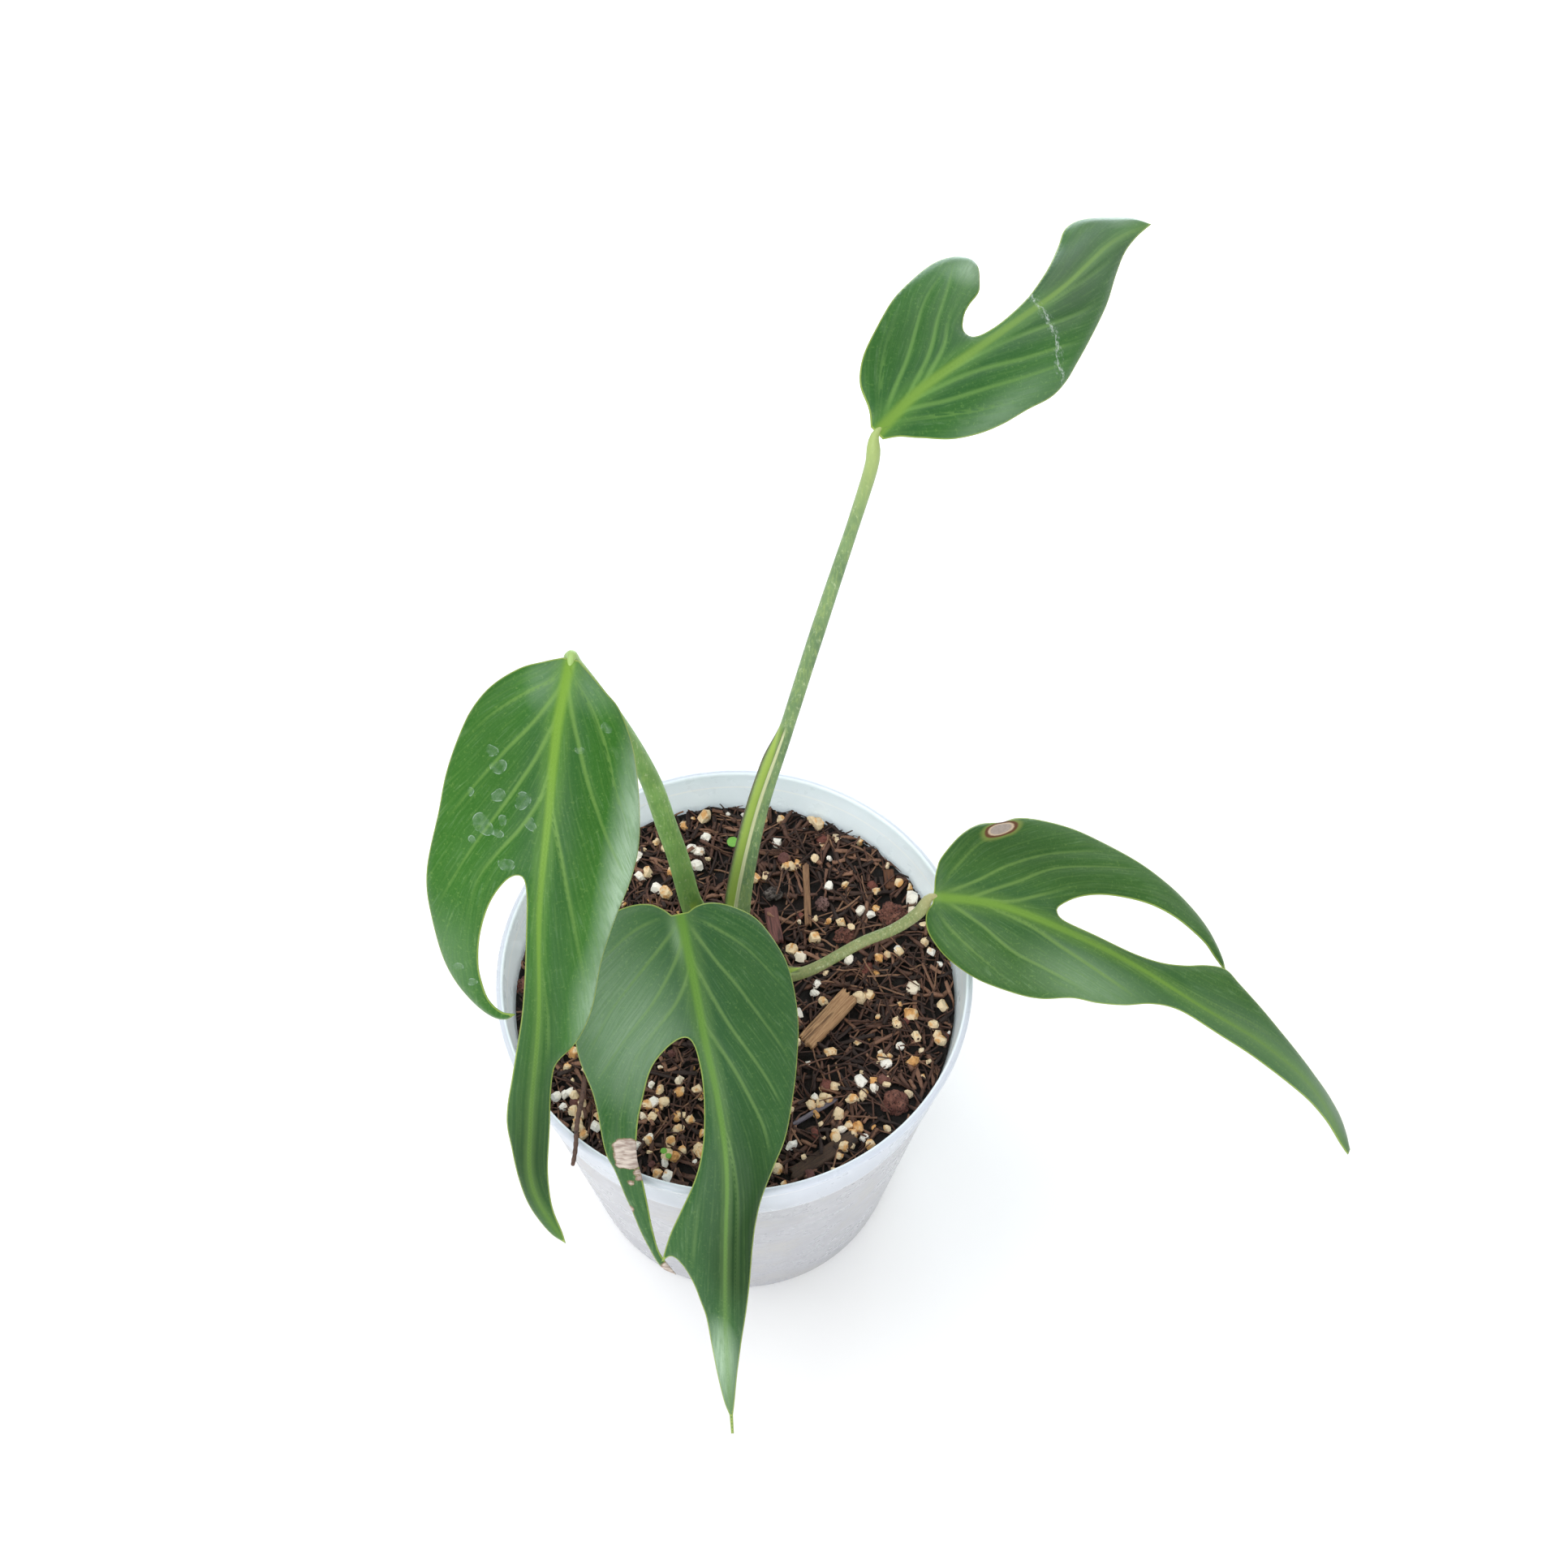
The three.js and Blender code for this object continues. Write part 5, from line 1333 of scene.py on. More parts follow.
def pot_finish():
    material, board, place = start_finish("frosted_plastic")
    height = board.node("ShaderNodeSeparateXYZ", {"Vector": place}).outputs[2]
    clouds = board.noise(place, 16, detail=4, rough=0.6)
    level = board.stretched(place, (1, 1, 2.4))
    smears = board.noise(level, 6.5, detail=4, rough=0.65, warp=0.4)
    specks = board.noise(board.stretched(place, (1, 1, 1.5)), 1.5, detail=4, rough=0.75)
    reach = board.vector("LENGTH", board.vector("MULTIPLY", place, (1, 1, 0)))
    inward = board.math("MULTIPLY_ADD", height, -BAND_SLOPE, reach)
    clear = board.blend(clouds, "#bbc1cb", "#c5cbd5")
    # Painted light: the inner face is paler and bluer than the outer, a painted glow for light coming
    # through the wall from behind.
    clear = board.blend(board.ramp(inward, *BAND_INSIDE), clear, "#e4f1ff")
    behind = board.blend(board.ramp(smears, 0.3, 0.7), "#a6a7ad", "#b6b7bb")
    behind = board.blend(board.ramp(clouds, 0.5, 0.7, 0.0, 0.5), behind, "#bdbab2")
    low = board.ramp(height, 0.08, 0.005)
    behind = board.blend(board.times(low, 0.3), behind, "#9c9da4")
    worm = board.noise(board.stretched(place, (1, 1, 1.6)), 3.4, detail=3, rough=0.6, warp=1.4)
    worm = board.ramp(board.away(worm, 0.5), 0.03, 0.0)
    worm = board.times(worm, board.ramp(smears, 0.46, 0.6))
    worm = board.times(worm, board.math("MULTIPLY_ADD", low, 0.6, 0.3))
    behind = board.blend(worm, behind, "#6f7280")
    behind = board.blend(board.ramp(specks, 0.6, 0.7, 0.0, 0.6), behind, "#7c7a82")
    behind = board.blend(board.ramp(specks, 0.38, 0.28, 0.0, 0.3), behind, "#cdd0d6")
    filled = board.ramp(height, *MIX_SHOWS)
    colour = board.blend(filled, clear, behind)
    step = board.ramp(board.away(height, STEP_LINE), 0.0006, 0.0002)
    colour = board.blend(board.times(step, 0.5), colour, "#e8ebee")
    ring = board.ramp(board.away(height, MOULD_RING), 0.0005, 0.0001)
    colour = board.blend(board.times(ring, 0.35), colour, "#ffffff")
    rough = board.ramp(clouds, 0.3, 0.7, 0.24, 0.36)
    end_finish(
        board, colour, rough, board.noise(place, 1.2, detail=3), 0.02,
        Subsurface_Weight=0.75, Subsurface_Radius=(1, 1, 1), Subsurface_Scale=0.004,
    )
    return material


plastic = pot_finish()
print("finish:", plastic.name)

# %% [markdown]
# ### Geometry trees
# A Geometry Nodes tree is a recipe for shapes: its named inputs are the sizes that may change, and
# what comes out is real mesh. The helpers open a tree with its inputs, close it with one material, and
# run it on a piece. The result is kept as a plain mesh.


# %% Geometry tree helpers
def geometry_tree(name, inputs):
    tree = bpy.data.node_groups.new(name, "GeometryNodeTree")
    face = tree.interface
    face.new_socket("Geometry", in_out="INPUT", socket_type="NodeSocketGeometry")
    for key, value in inputs.items():
        kind = "NodeSocketInt" if isinstance(value, int) else "NodeSocketFloat"
        face.new_socket(key, in_out="INPUT", socket_type=kind).default_value = value
    face.new_socket("Geometry", in_out="OUTPUT", socket_type="NodeSocketGeometry")
    board = Board(tree)
    return tree, board, board.node("NodeGroupInput").outputs


def end_tree(board, geometry, material):
    real = board.node("GeometryNodeRealizeInstances", {"Geometry": geometry}).outputs[0]
    coated = board.node("GeometryNodeSetMaterial", {"Geometry": real})
    coated.inputs["Material"].default_value = material
    output = board.node("NodeGroupOutput")
    board.tree.links.new(coated.outputs[0], output.inputs[0])


def run_tree(piece, tree, values, name):
    modifier = piece.modifiers.new(tree.name, "NODES")
    modifier.node_group = tree
    for item in tree.interface.items_tree:
        if item.in_out == "INPUT" and item.name in values:
            modifier[item.identifier] = values[item.name]
    seen = piece.evaluated_get(bpy.context.evaluated_depsgraph_get())
    mesh = bpy.data.meshes.new_from_object(seen)
    piece.modifiers.remove(modifier)
    mesh.name = name
    return link(name, mesh)


print("Geometry Nodes helpers: open, close and run a tree")

# %% [markdown]
# The drill is a cylinder put on each point of a circle, and the whole ring of drills is cut from the
# pot at once. Change the number of holes, their radius or their circle, and the ring is cut anew.

# %% Drill the pot
DRAINAGE = {"Holes": 8, "Hole Radius": 0.004, "Circle Radius": 0.03}


def drill_tree(material):
    tree, board, inputs = geometry_tree("drainage_holes", DRAINAGE)
    sockets = {"Vertices": inputs["Holes"], "Radius": inputs["Circle Radius"]}
    circle = board.node("GeometryNodeMeshCircle", sockets)
    sockets = {"Vertices": 40, "Radius": inputs["Hole Radius"], "Depth": 0.01}
    drill = board.node("GeometryNodeMeshCylinder", sockets)
    sockets = {"Points": circle.outputs[0], "Instance": drill.outputs[0]}
    drills = board.node("GeometryNodeInstanceOnPoints", sockets)
    drills = board.node("GeometryNodeRealizeInstances", {"Geometry": drills.outputs[0]})
    cut = board.node("GeometryNodeMeshBoolean", operation="DIFFERENCE", solver="EXACT")
    board.tree.links.new(inputs["Geometry"], cut.inputs["Mesh 1"])
    board.tree.links.new(drills.outputs[0], cut.inputs["Mesh 2"])
    end_tree(board, cut.outputs[0], material)
    return tree


blank = mesh_from("pot_blank", *turned(pot_profile(), POT_SIDES), plastic)
pot = run_tree(blank, drill_tree(plastic), DRAINAGE, "pot_shell")
bpy.data.objects.remove(blank)
pot.data.polygons.foreach_set("use_smooth", [True] * len(pot.data.polygons))
pot.data.set_sharp_from_angle(angle=math.radians(40))
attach(pot, "root")
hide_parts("pot")
print("pot faces:", len(pot.data.polygons))

# %% [markdown]
# ## Potting mix
# The mix is a bed of crumbs with a soft uneven top, painted near-black: partly the dark mix and partly
# painted shade for the deep gaps between the bits. On it lie more than two thousand bits: white
# and tan-stained perlite, curly coir fibres, shards of bark and crumbs of red lava. The bed is one
# closed body. The bits are scattered by Geometry Nodes over its top, with fixed seeds, keeping off the
# places where larger pieces lie. Those are typed first: slivers by length, width and thickness, stones
# by their three radii, each with its place and turn.

# %% Larger pieces on the mix
CHIPS = {
    "wood_chip": {"size": [19, 6.2, 3.4], "at": [25.6, -8.2, 106.9], "turn": 49, "tilt": 2},
    "dark_bark": {"size": [20.5, 4.6, 3], "at": [24.2, -48, 105.6], "turn": 33, "tilt": 4},
    "red_bark": {"size": [11, 4.2, 2.4], "at": [10.6, 21.4, 106.4], "turn": -80, "tilt": -4},
    "pale_stick": {"size": [19.5, 2.2, 2], "at": [20, 31, 106.4], "turn": -88, "tilt": -2},
    "bark_flake": {"size": [6, 3.4, 1.6], "at": [43.6, 36.4, 106], "turn": 95, "tilt": 10},
    "grey_straw": {"size": [14, 1.4, 1.2], "at": [21.6, -35.4, 105.9], "turn": 32, "tilt": 3},
}
STONES = {
    "lava_stone_right": {"radii": [4, 3.6, 2.8], "at": [44, 25, 106.6], "turn": 20},
    "lava_stone_front": {"radii": [4.4, 4, 3], "at": [43.5, -33, 106.4], "turn": 70},
    "lava_stone_left": {"radii": [3.1, 3.4, 2.8], "at": [-57.7, 2, 106.6], "turn": 0},
    "lava_stone_middle": {"radii": [3.1, 2.6, 2.4], "at": [30.4, 18.4, 106], "turn": 15},
    "mauve_stone": {"radii": [2.4, 2.3, 2], "at": [24.4, 28.4, 106.2], "turn": 40},
    "grey_stone": {"radii": [2.6, 2.2, 1.9], "at": [10.5, 31.5, 106.6], "turn": 10},
}
print("larger pieces:", ", ".join([*CHIPS, *STONES]))

# %% [markdown]
# The bed's top is a disc of rings whose height rises and falls with a slow swell and fine crumbs. Its
# body goes down from the outer ring, just inside the pot's wall, to the floor of the pot.

# %% Bed of the mix
SOIL_LEVEL = 105  # all of these lengths are in millimetres
SOIL_SWELL = 1.1
BED_SIDES = 150
BED_RINGS = 56
WALL_GAP = 0.3
ROOM_AROUND = 0.8


def soil_height(x, y):
    swell = 0.6 * math.sin(x / 9 + 1) * math.cos(y / 11) + 0.4 * math.sin((x + y) / 6)
    return SOIL_LEVEL + SOIL_SWELL * swell


def bed_point(x, y, share):
    crumbs = noise.noise(Vector((x, y, 3)) * 0.45) * 0.9 + noise.noise(Vector((x, y, 9)) * 1.3) * 0.55
    return (x, y, soil_height(x, y) + crumbs * (1 - share**8) - 0.3)


def free_room(x, y):
    room = 1.0
    for piece in [*CHIPS.values(), *STONES.values()]:
        turn = math.radians(piece["turn"])
        off = np.array([x - piece["at"][0], y - piece["at"][1]])
        along = abs(off @ (math.cos(turn), math.sin(turn)))
        across = abs(off @ (-math.sin(turn), math.cos(turn)))
        half = [s / 2 for s in piece["size"]] if "size" in piece else piece["radii"]
        if along < half[0] + ROOM_AROUND and across < half[1] + ROOM_AROUND:
            room = 0.0
    return room


def bed_top():
    radius = inner_radius(SOIL_LEVEL) - WALL_GAP
    points = [bed_point(0, 0, 0)]
    faces = []
    for ring in range(1, BED_RINGS + 1):
        share = ring / BED_RINGS
        for side in range(BED_SIDES):
            angle = side / BED_SIDES * 2 * math.pi
            x, y = radius * share * math.cos(angle), radius * share * math.sin(angle)
            points.append(bed_point(x, y, share))
            here = 1 + (ring - 1) * BED_SIDES + side
            after = 1 + (ring - 1) * BED_SIDES + (side + 1) % BED_SIDES
            if ring == 1:
                faces.append((0, here, after))
            else:
                faces.append((here - BED_SIDES, here, after, after - BED_SIDES))
    return points, faces


def bed_body():
    points, faces = bed_top()
    heights = [102, 99, 97, 70, 40, BASE + 3, BASE + 1]
    radii = [inner_radius(h) - WALL_GAP for h in heights[:-1]]
    radii.append(radii[-1] - 2.2)
    for radius, height in zip(radii, heights):
        for side in range(BED_SIDES):
            angle = side / BED_SIDES * 2 * math.pi
            points.append((radius * math.cos(angle), radius * math.sin(angle), height))
            here = len(points) - 1
            after = here + 1 if side < BED_SIDES - 1 else here + 1 - BED_SIDES
            faces.append((here - BED_SIDES, here, after, after - BED_SIDES))
    points.append((0, 0, heights[-1]))
    first = len(points) - 1 - BED_SIDES
    for side in range(BED_SIDES):
        faces.append((len(points) - 1, first + (side + 1) % BED_SIDES, first + side))
    return points, faces


def bed_finish():
    material, board, place = start_finish("dark_crumbs_and_gap_shade")
    crumbs = board.noise(place, 1.6, detail=5, rough=0.7)
    clouds = board.noise(place, 8, detail=3)
    # Partly painted shade: the near-black stands for the dark mix and for shade in the deep gaps between
    # bits.
    colour = board.blend(board.ramp(crumbs, 0.35, 0.7), "#080605", "#1b120e")
    colour = board.blend(board.ramp(clouds, 0.45, 0.75, 0.0, 0.5), colour, "#2b1d17")
    end_finish(board, colour, board.ramp(crumbs, 0, 1, 0.75, 0.95), crumbs, 0.8)
    return material


bed = mesh_from("mix_bed", *bed_body(), bed_finish())
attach(bed, "root")
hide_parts("potting_mix")

top_points, top_faces = bed_top()
room = [free_room(x, y) for x, y, _ in top_points]
bed_surface = mesh_from("bed_surface", top_points, top_faces, None, {"room": room})
print("bed faces:", len(bed.data.polygons))

# %% [markdown]
# ### Scattered bits
# One tree serves all kinds of bits. It spreads points over the bed, puts a small shape on each with
# its own turn and size, keeps a random number called tone for the finish, and then pushes the points
# about with noise, so that no two bits are alike. Bits that would stick through the pot are pulled in.


# %% Shapes of the bits
GRAIN_CUBE = 0.002  # metres along each side of the cube that a grain starts from
GRAIN_BALL = 0.00078  # radius in metres of the ball that it is rounded towards
CUBE_SHARE = 0.2  # how much of the cube is left in it


def grain_shape(board):
    counts = {f"Vertices {axis}": 3 for axis in "XYZ"}
    cube = board.node("GeometryNodeMeshCube", {"Size": (GRAIN_CUBE,) * 3, **counts}).outputs[0]
    place = board.node("GeometryNodeInputPosition").outputs[0]
    ball = board.scaled(board.vector("NORMALIZE", place), GRAIN_BALL)
    lump = board.vector("ADD", ball, board.scaled(place, CUBE_SHARE))
    return board.node("GeometryNodeSetPosition", {"Geometry": cube, "Position": lump}).outputs[0]


def fibre_shape(board):
    ends = {"Start": (-0.0005, 0, 0), "End": (0.0005, 0, 0)}
    line = board.node("GeometryNodeCurvePrimitiveLine", ends)
    fine = board.node("GeometryNodeResampleCurve", {"Curve": line.outputs[0], "Count": 8})
    ring = board.node("GeometryNodeCurvePrimitiveCircle", {"Resolution": 4, "Radius": 0.00028})
    sockets = {"Curve": fine.outputs[0], "Profile Curve": ring.outputs[0], "Fill Caps": True}
    return board.node("GeometryNodeCurveToMesh", sockets).outputs[0]


def shard_shape(board):
    sockets = {"Size": (0.001,) * 3, "Vertices X": 5, "Vertices Y": 3, "Vertices Z": 2}
    return board.node("GeometryNodeMeshCube", sockets).outputs[0]


print("a grain starts as a cube of", GRAIN_CUBE / MM, "mm")

# %% [markdown]
# The steps that all bits share come first: a random value, a move, the push by noise and the pull
# inwards. Distances in a tree are metres, and a bit's size is a factor on its small shape.


# %% Scatter tree
def chance(board, seed, low, high):
    several = isinstance(low, tuple)
    made = board.node("FunctionNodeRandomValue", data_type="FLOAT_VECTOR" if several else "FLOAT")
    first = 0 if several else 2
    made.inputs[first].default_value = low
    made.inputs[first + 1].default_value = high
    board.fill(made.inputs["Seed"], seed)
    return made.outputs[0 if several else 1]


def moved(board, bits, offset):
    return board.node("GeometryNodeSetPosition", {"Geometry": bits, "Offset": offset}).outputs[0]


def keep_inside(board, bits, wall):
    place = board.node("GeometryNodeInputPosition").outputs[0]
    level = board.vector("MULTIPLY", place, (1, 1, 0))
    share = board.math("DIVIDE", wall * MM, board.vector("LENGTH", level))
    share = board.math("SUBTRACT", board.math("MINIMUM", share, 1.0), 1.0)
    return moved(board, bits, board.scaled(level, share))


def end_bits(board, bits, material, ripple, push, wall, smooth):
    bits = board.node("GeometryNodeRealizeInstances", {"Geometry": bits}).outputs[0]
    place = board.node("GeometryNodeInputPosition").outputs[0]
    drift = board.vector("SUBTRACT", board.noise(place, ripple, detail=2, output=1), (0.5, 0.5, 0.5))
    bits = keep_inside(board, moved(board, bits, board.scaled(drift, push)), wall)
    sockets = {"Geometry": bits, "Shade Smooth": smooth}
    end_tree(board, board.node("GeometryNodeSetShadeSmooth", sockets).outputs[0], material)


def scatter_tree(name, shape, material, smallest, largest, flattest, tilt, ripple, wall, clump, sizes):
    tree, board, inputs = geometry_tree(name, sizes)
    room = board.node("GeometryNodeInputNamedAttribute", {"Name": "room"}, data_type="FLOAT").outputs[0]
    here = board.node("GeometryNodeInputPosition").outputs[0]
    crowd = board.ramp(board.noise(here, 14, detail=2), 0.4, 0.6, 1 - clump, 1.0)
    sockets = {
        "Mesh": inputs["Geometry"],
        "Distance Min": inputs["Spacing"],
        "Density Max": inputs["Density"],
        "Density Factor": board.times(crowd, room),
        "Seed": inputs["Seed"],
    }
    points = board.node("GeometryNodeDistributePointsOnFaces", sockets, distribute_method="POISSON")
    lift = board.node("ShaderNodeCombineXYZ", {"Z": inputs["Lift"]}).outputs[0]
    points = moved(board, points.outputs[0], lift)
    seeds = [board.math("ADD", inputs["Seed"], offset) for offset in (1.0, 2.0, 3.0, 4.0)]
    turn = chance(board, seeds[0], (-tilt, -tilt, 0), (tilt, tilt, 6.283))
    pick = board.math("POWER", chance(board, seeds[1], 0.0, 1.0), 1.7)
    size = board.math("MULTIPLY_ADD", pick, largest - smallest, smallest)
    stretch = chance(board, seeds[2], flattest, (1.0, 1.0, 1.0))
    if shape is grain_shape:
        scale = board.scaled(stretch, size)
    else:
        long = board.node("ShaderNodeCombineXYZ", {"X": size, "Y": 1.0, "Z": 1.0}).outputs[0]
        scale = board.vector("MULTIPLY", stretch, long)
    sockets = {"Points": points, "Instance": shape(board), "Rotation": turn, "Scale": scale}
    bits = board.node("GeometryNodeInstanceOnPoints", sockets).outputs[0]
    sockets = {"Geometry": bits, "Name": "tone", "Value": chance(board, seeds[3], 0.0, 1.0)}
    kept = board.node("GeometryNodeStoreNamedAttribute", sockets, data_type="FLOAT", domain="INSTANCE")
    smooth = shape is not grain_shape
    end_bits(board, kept.outputs[0], material, ripple, inputs["Push"], wall, smooth)
    return tree


print("the steps of the scatter tree are ready")

# %% [markdown]
# ### Finishes of the bits
# Every bit carries a random number, its tone, so one finish gives each its own shade: dry, pale bark
# beside dark, wet bark, and perlite from clean white to tan where it has soaked up stain. A material
# for each shade would do as well, but a number on the mesh needs only one for each kind.


# %% Finishes of the bits
def bit_finish(name, tones, grain_size, rough, depth):
    material, board, place = start_finish(name)
    tone = board.read("tone")
    grain = board.noise(place, grain_size, detail=4, rough=0.65)
    colour = board.blend(board.ramp(tone, 0.35, 0.55), tones[0], tones[1])
    colour = board.blend(board.ramp(tone, 0.72, 0.95), colour, tones[2])
    colour = board.blend(board.ramp(grain, 0.45, 0.8, 0.0, 0.7), colour, tones[3])
    end_finish(board, colour, board.ramp(grain, 0, 1, rough - 0.1, rough), grain, depth)
    return material


def perlite_finish():
    material, board, place = start_finish("perlite_crumb")
    tone = board.read("tone")
    grain = board.noise(place, 1.0, detail=4, rough=0.7)
    stain = board.noise(place, 2.4, detail=3)
    stain = board.math("ADD", stain, board.math("MULTIPLY_ADD", tone, 0.36, -0.19))
    colour = board.blend(board.ramp(tone, 0.12, 0.4), "#fbf6ec", "#efd7b0")
    colour = board.blend(board.ramp(stain, 0.5, 0.66), colour, "#dfa868")
    colour = board.blend(board.ramp(stain, 0.68, 0.84), colour, "#bd7f45")
    colour = board.blend(board.ramp(grain, 0.42, 0.3, 0.0, 0.6), colour, "#8d7762")
    end_finish(board, colour, board.ramp(grain, 0, 1, 0.8, 0.95), grain, 0.3)
    return material


perlite_white = perlite_finish()
coir_brown = bit_finish("coir_fibre", ("#3d2820", "#5f4033", "#8e6a52", "#2a1b16"), 1.5, 0.8, 0.15)
bark_brown = bit_finish("bark_shard", ("#2c1c17", "#5e4033", "#8f6852", "#211511"), 1.1, 0.75, 0.35)
lava_red = bit_finish("lava_crumb", ("#7a473d", "#6b4540", "#926457", "#3a241f"), 0.9, 0.95, 0.6)
print("finishes:", perlite_white.name, coir_brown.name, bark_brown.name, lava_red.name)

# %% [markdown]
# Each kind of bit has its sizes as factors, its tilt in radians, the size of the noise that pushes it
# and the radius that it stays within in millimetres, and how much it gathers in clumps. The tree's own
# inputs are the room between bits, how many there may be, the seed, the lift and the push.

# %% Scatter the bits
BITS = {
    "coir_fibres": dict(
        shape=fibre_shape, material=coir_brown, smallest=7, largest=22, flattest=(0.6, 0.8, 0.6),
        tilt=0.35, ripple=11, wall=60.6, clump=0.0,
        sizes={"Spacing": 0.0015, "Density": 170000.0, "Seed": 11, "Lift": 0.0014, "Push": 0.0048},
    ),
    "bark_shards": dict(
        shape=shard_shape, material=bark_brown, smallest=4, largest=15, flattest=(0.7, 0.7, 0.5),
        tilt=0.4, ripple=4, wall=60.6, clump=0.0,
        sizes={"Spacing": 0.0018, "Density": 160000.0, "Seed": 23, "Lift": 0.0010, "Push": 0.0024},
    ),
    "perlite_grains": dict(
        shape=grain_shape, material=perlite_white, smallest=0.8, largest=2.2, flattest=(0.65, 0.55, 0.5),
        tilt=3.1, ripple=1.9, wall=60.4, clump=0.75,
        sizes={"Spacing": 0.0033, "Density": 60000.0, "Seed": 5, "Lift": 0.0015, "Push": 0.0021},
    ),
    "lava_crumbs": dict(
        shape=grain_shape, material=lava_red, smallest=1.2, largest=2.6, flattest=(0.8, 0.7, 0.6),
        tilt=3.1, ripple=1.2, wall=60.2, clump=0.3,
        sizes={"Spacing": 0.012, "Density": 5000.0, "Seed": 31, "Lift": 0.001, "Push": 0.0016},
    ),
}
for name, kind in BITS.items():
    piece = run_tree(bed_surface, scatter_tree(name, **kind), kind["sizes"], name)
    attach(piece, "root")
    print(name, len(piece.data.polygons), "faces")
bpy.data.objects.remove(bed_surface)

# %% [markdown]
# Some grains are easy to pick out in the picture, and so are a few heaps of tan grains against the
# wall and inside the front leaf's notch. Those are typed as spots, and the same grain shape is put on
# each spot. A spot is across, back, size and tone. A heap is across, back, width and number of grains,
# which a seeded draw lays round its middle.

# %% Spots of the grains
GRAIN_SPOTS = [
    (23.4, 54.2, 2.2, 0.4), (22.3, 43.3, 1.5, 0.4), (26.2, 33.8, 1.5, 0.1), (46.2, 35, 1.4, 0.6),
    (39.5, 26.9, 1.4, 0.7), (35.1, 25.9, 1.5, 0.2), (29.5, 22, 1.6, 0.6), (32.3, 20.7, 1.3, 0.5),
    (31.7, 10.4, 1.6, 0.2), (40.1, 10.7, 1.5, 0.8), (45.4, 13.7, 1.3, 0.1), (53.2, 16.3, 1.5, 0.4),
    (54.7, 13.2, 1.4, 0.1), (22.7, 3.3, 1.4, 0.1), (24.3, -2.2, 1.4, 0.4), (34.6, -0.9, 2, 0.4),
    (26.1, -18, 1.7, 0.7), (44.6, -9.4, 1.4, 0.4), (54.6, -10.1, 1.5, 0.4), (57.2, -4.3, 1.8, 0.6),
    (49.8, -13.3, 1.6, 0.4), (45.3, -15.8, 1.2, 0.1), (34.2, -27.1, 2, 0.1), (37.9, -28.8, 1.4, 0.2),
    (47.3, -30.3, 1.4, 0.4), (35, -43, 1.4, 0.1), (29, -40.9, 1.4, 0.2), (11.6, -51.8, 1.8, 0.4),
    (-11.4, 41, 2, 0.1), (-13, 46.5, 1.5, 0.1), (-9.5, 56.5, 2.2, 0.6), (7, 56, 2, 0.5), (-20, 31, 2.3, 0.8),
]
GRAIN_HEAPS = [
    (-18, -31, 8, 11), (-16, -47, 9, 12), (-44, -34, 9, 20), (-58, 8, 4, 8), (-58, -9, 4, 8),
    (57.5, -13, 5, 9), (12, 40, 6, 5), (-27, 43, 9, 11), (40, -22, 8, 7), (22, -34, 7, 9), (32, -44, 9, 10),
]


HEAP_SEED = 41
HEAP_TONES = [0.15, 0.4, 0.55, 0.7, 0.85]
NEAR_WALL = 58.5  # millimetres from the middle, past which a drawn grain is left out
SPOT_LIFT = 0.7


def grain_spots():
    draw = random.Random(HEAP_SEED)
    spots = list(GRAIN_SPOTS)
    for x, y, width, count in GRAIN_HEAPS:
        for _ in range(count):
            spot = (draw.gauss(x, width / 2), draw.gauss(y, width / 2))
            size, tone = draw.uniform(1.1, 1.9), draw.choice(HEAP_TONES)
            if math.hypot(*spot) < NEAR_WALL:
                spots.append((*spot, size, tone))
    return spots


spots = grain_spots()
print("placed grains:", len(spots))

# %% Placed grains
PLACED_SIZES = {"Seed": 3, "Push": 0.0019}
PLACED_WALL = 60.6  # millimetres


def placed_tree(material):
    tree, board, inputs = geometry_tree("placed_grains", PLACED_SIZES)
    size = board.node("GeometryNodeInputNamedAttribute", {"Name": "size"}, data_type="FLOAT").outputs[0]
    sockets = {
        "Points": inputs["Geometry"],
        "Instance": grain_shape(board),
        "Rotation": chance(board, inputs["Seed"], (0, 0, 0), (6.3, 6.3, 6.3)),
        "Scale": board.scaled((1.05, 0.85, 0.75), size),
    }
    grains = board.node("GeometryNodeInstanceOnPoints", sockets).outputs[0]
    end_bits(board, grains, material, 1.7, inputs["Push"], PLACED_WALL, False)
    return tree


spot_points = [(x, y, soil_height(x, y) + SPOT_LIFT + 0.5 * size) for x, y, size, _ in spots]
spot_values = {"size": [spot[2] for spot in spots], "tone": [spot[3] for spot in spots]}
spot_mesh = mesh_from("spots", spot_points, [], None, spot_values)
piece = run_tree(spot_mesh, placed_tree(perlite_white), PLACED_SIZES, "perlite_placed")
bpy.data.objects.remove(spot_mesh)
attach(piece, "root")
print(piece.name, len(piece.data.polygons), "faces")

# %% [markdown]
# Two weeds have sprouted in the mix: one round seed leaf at the back and a pair at the front, each on
# a thread of a stem. They are flattened balls on a short swept line. Each row is across, back, radius.

# %% Seedlings
SEEDLINGS = [(-1.2, 47.4, 1.7), (-18.5, -47.8, 0.9), (-17.2, -49.2, 0.8)]
THREAD_RADIUS = 0.35


def thread_radius(at, length, outward):
    return np.full(len(outward), THREAD_RADIUS)


def seedling_finish():
    material, board, place = start_finish("seedling_green")
    clouds = board.noise(place, 1.0, detail=3)
    colour = board.blend(clouds, "#5f9a35", "#7dbb4c")
    end_finish(board, colour, board.ramp(clouds, 0, 1, 0.45, 0.6), clouds, 0.1)
    return material


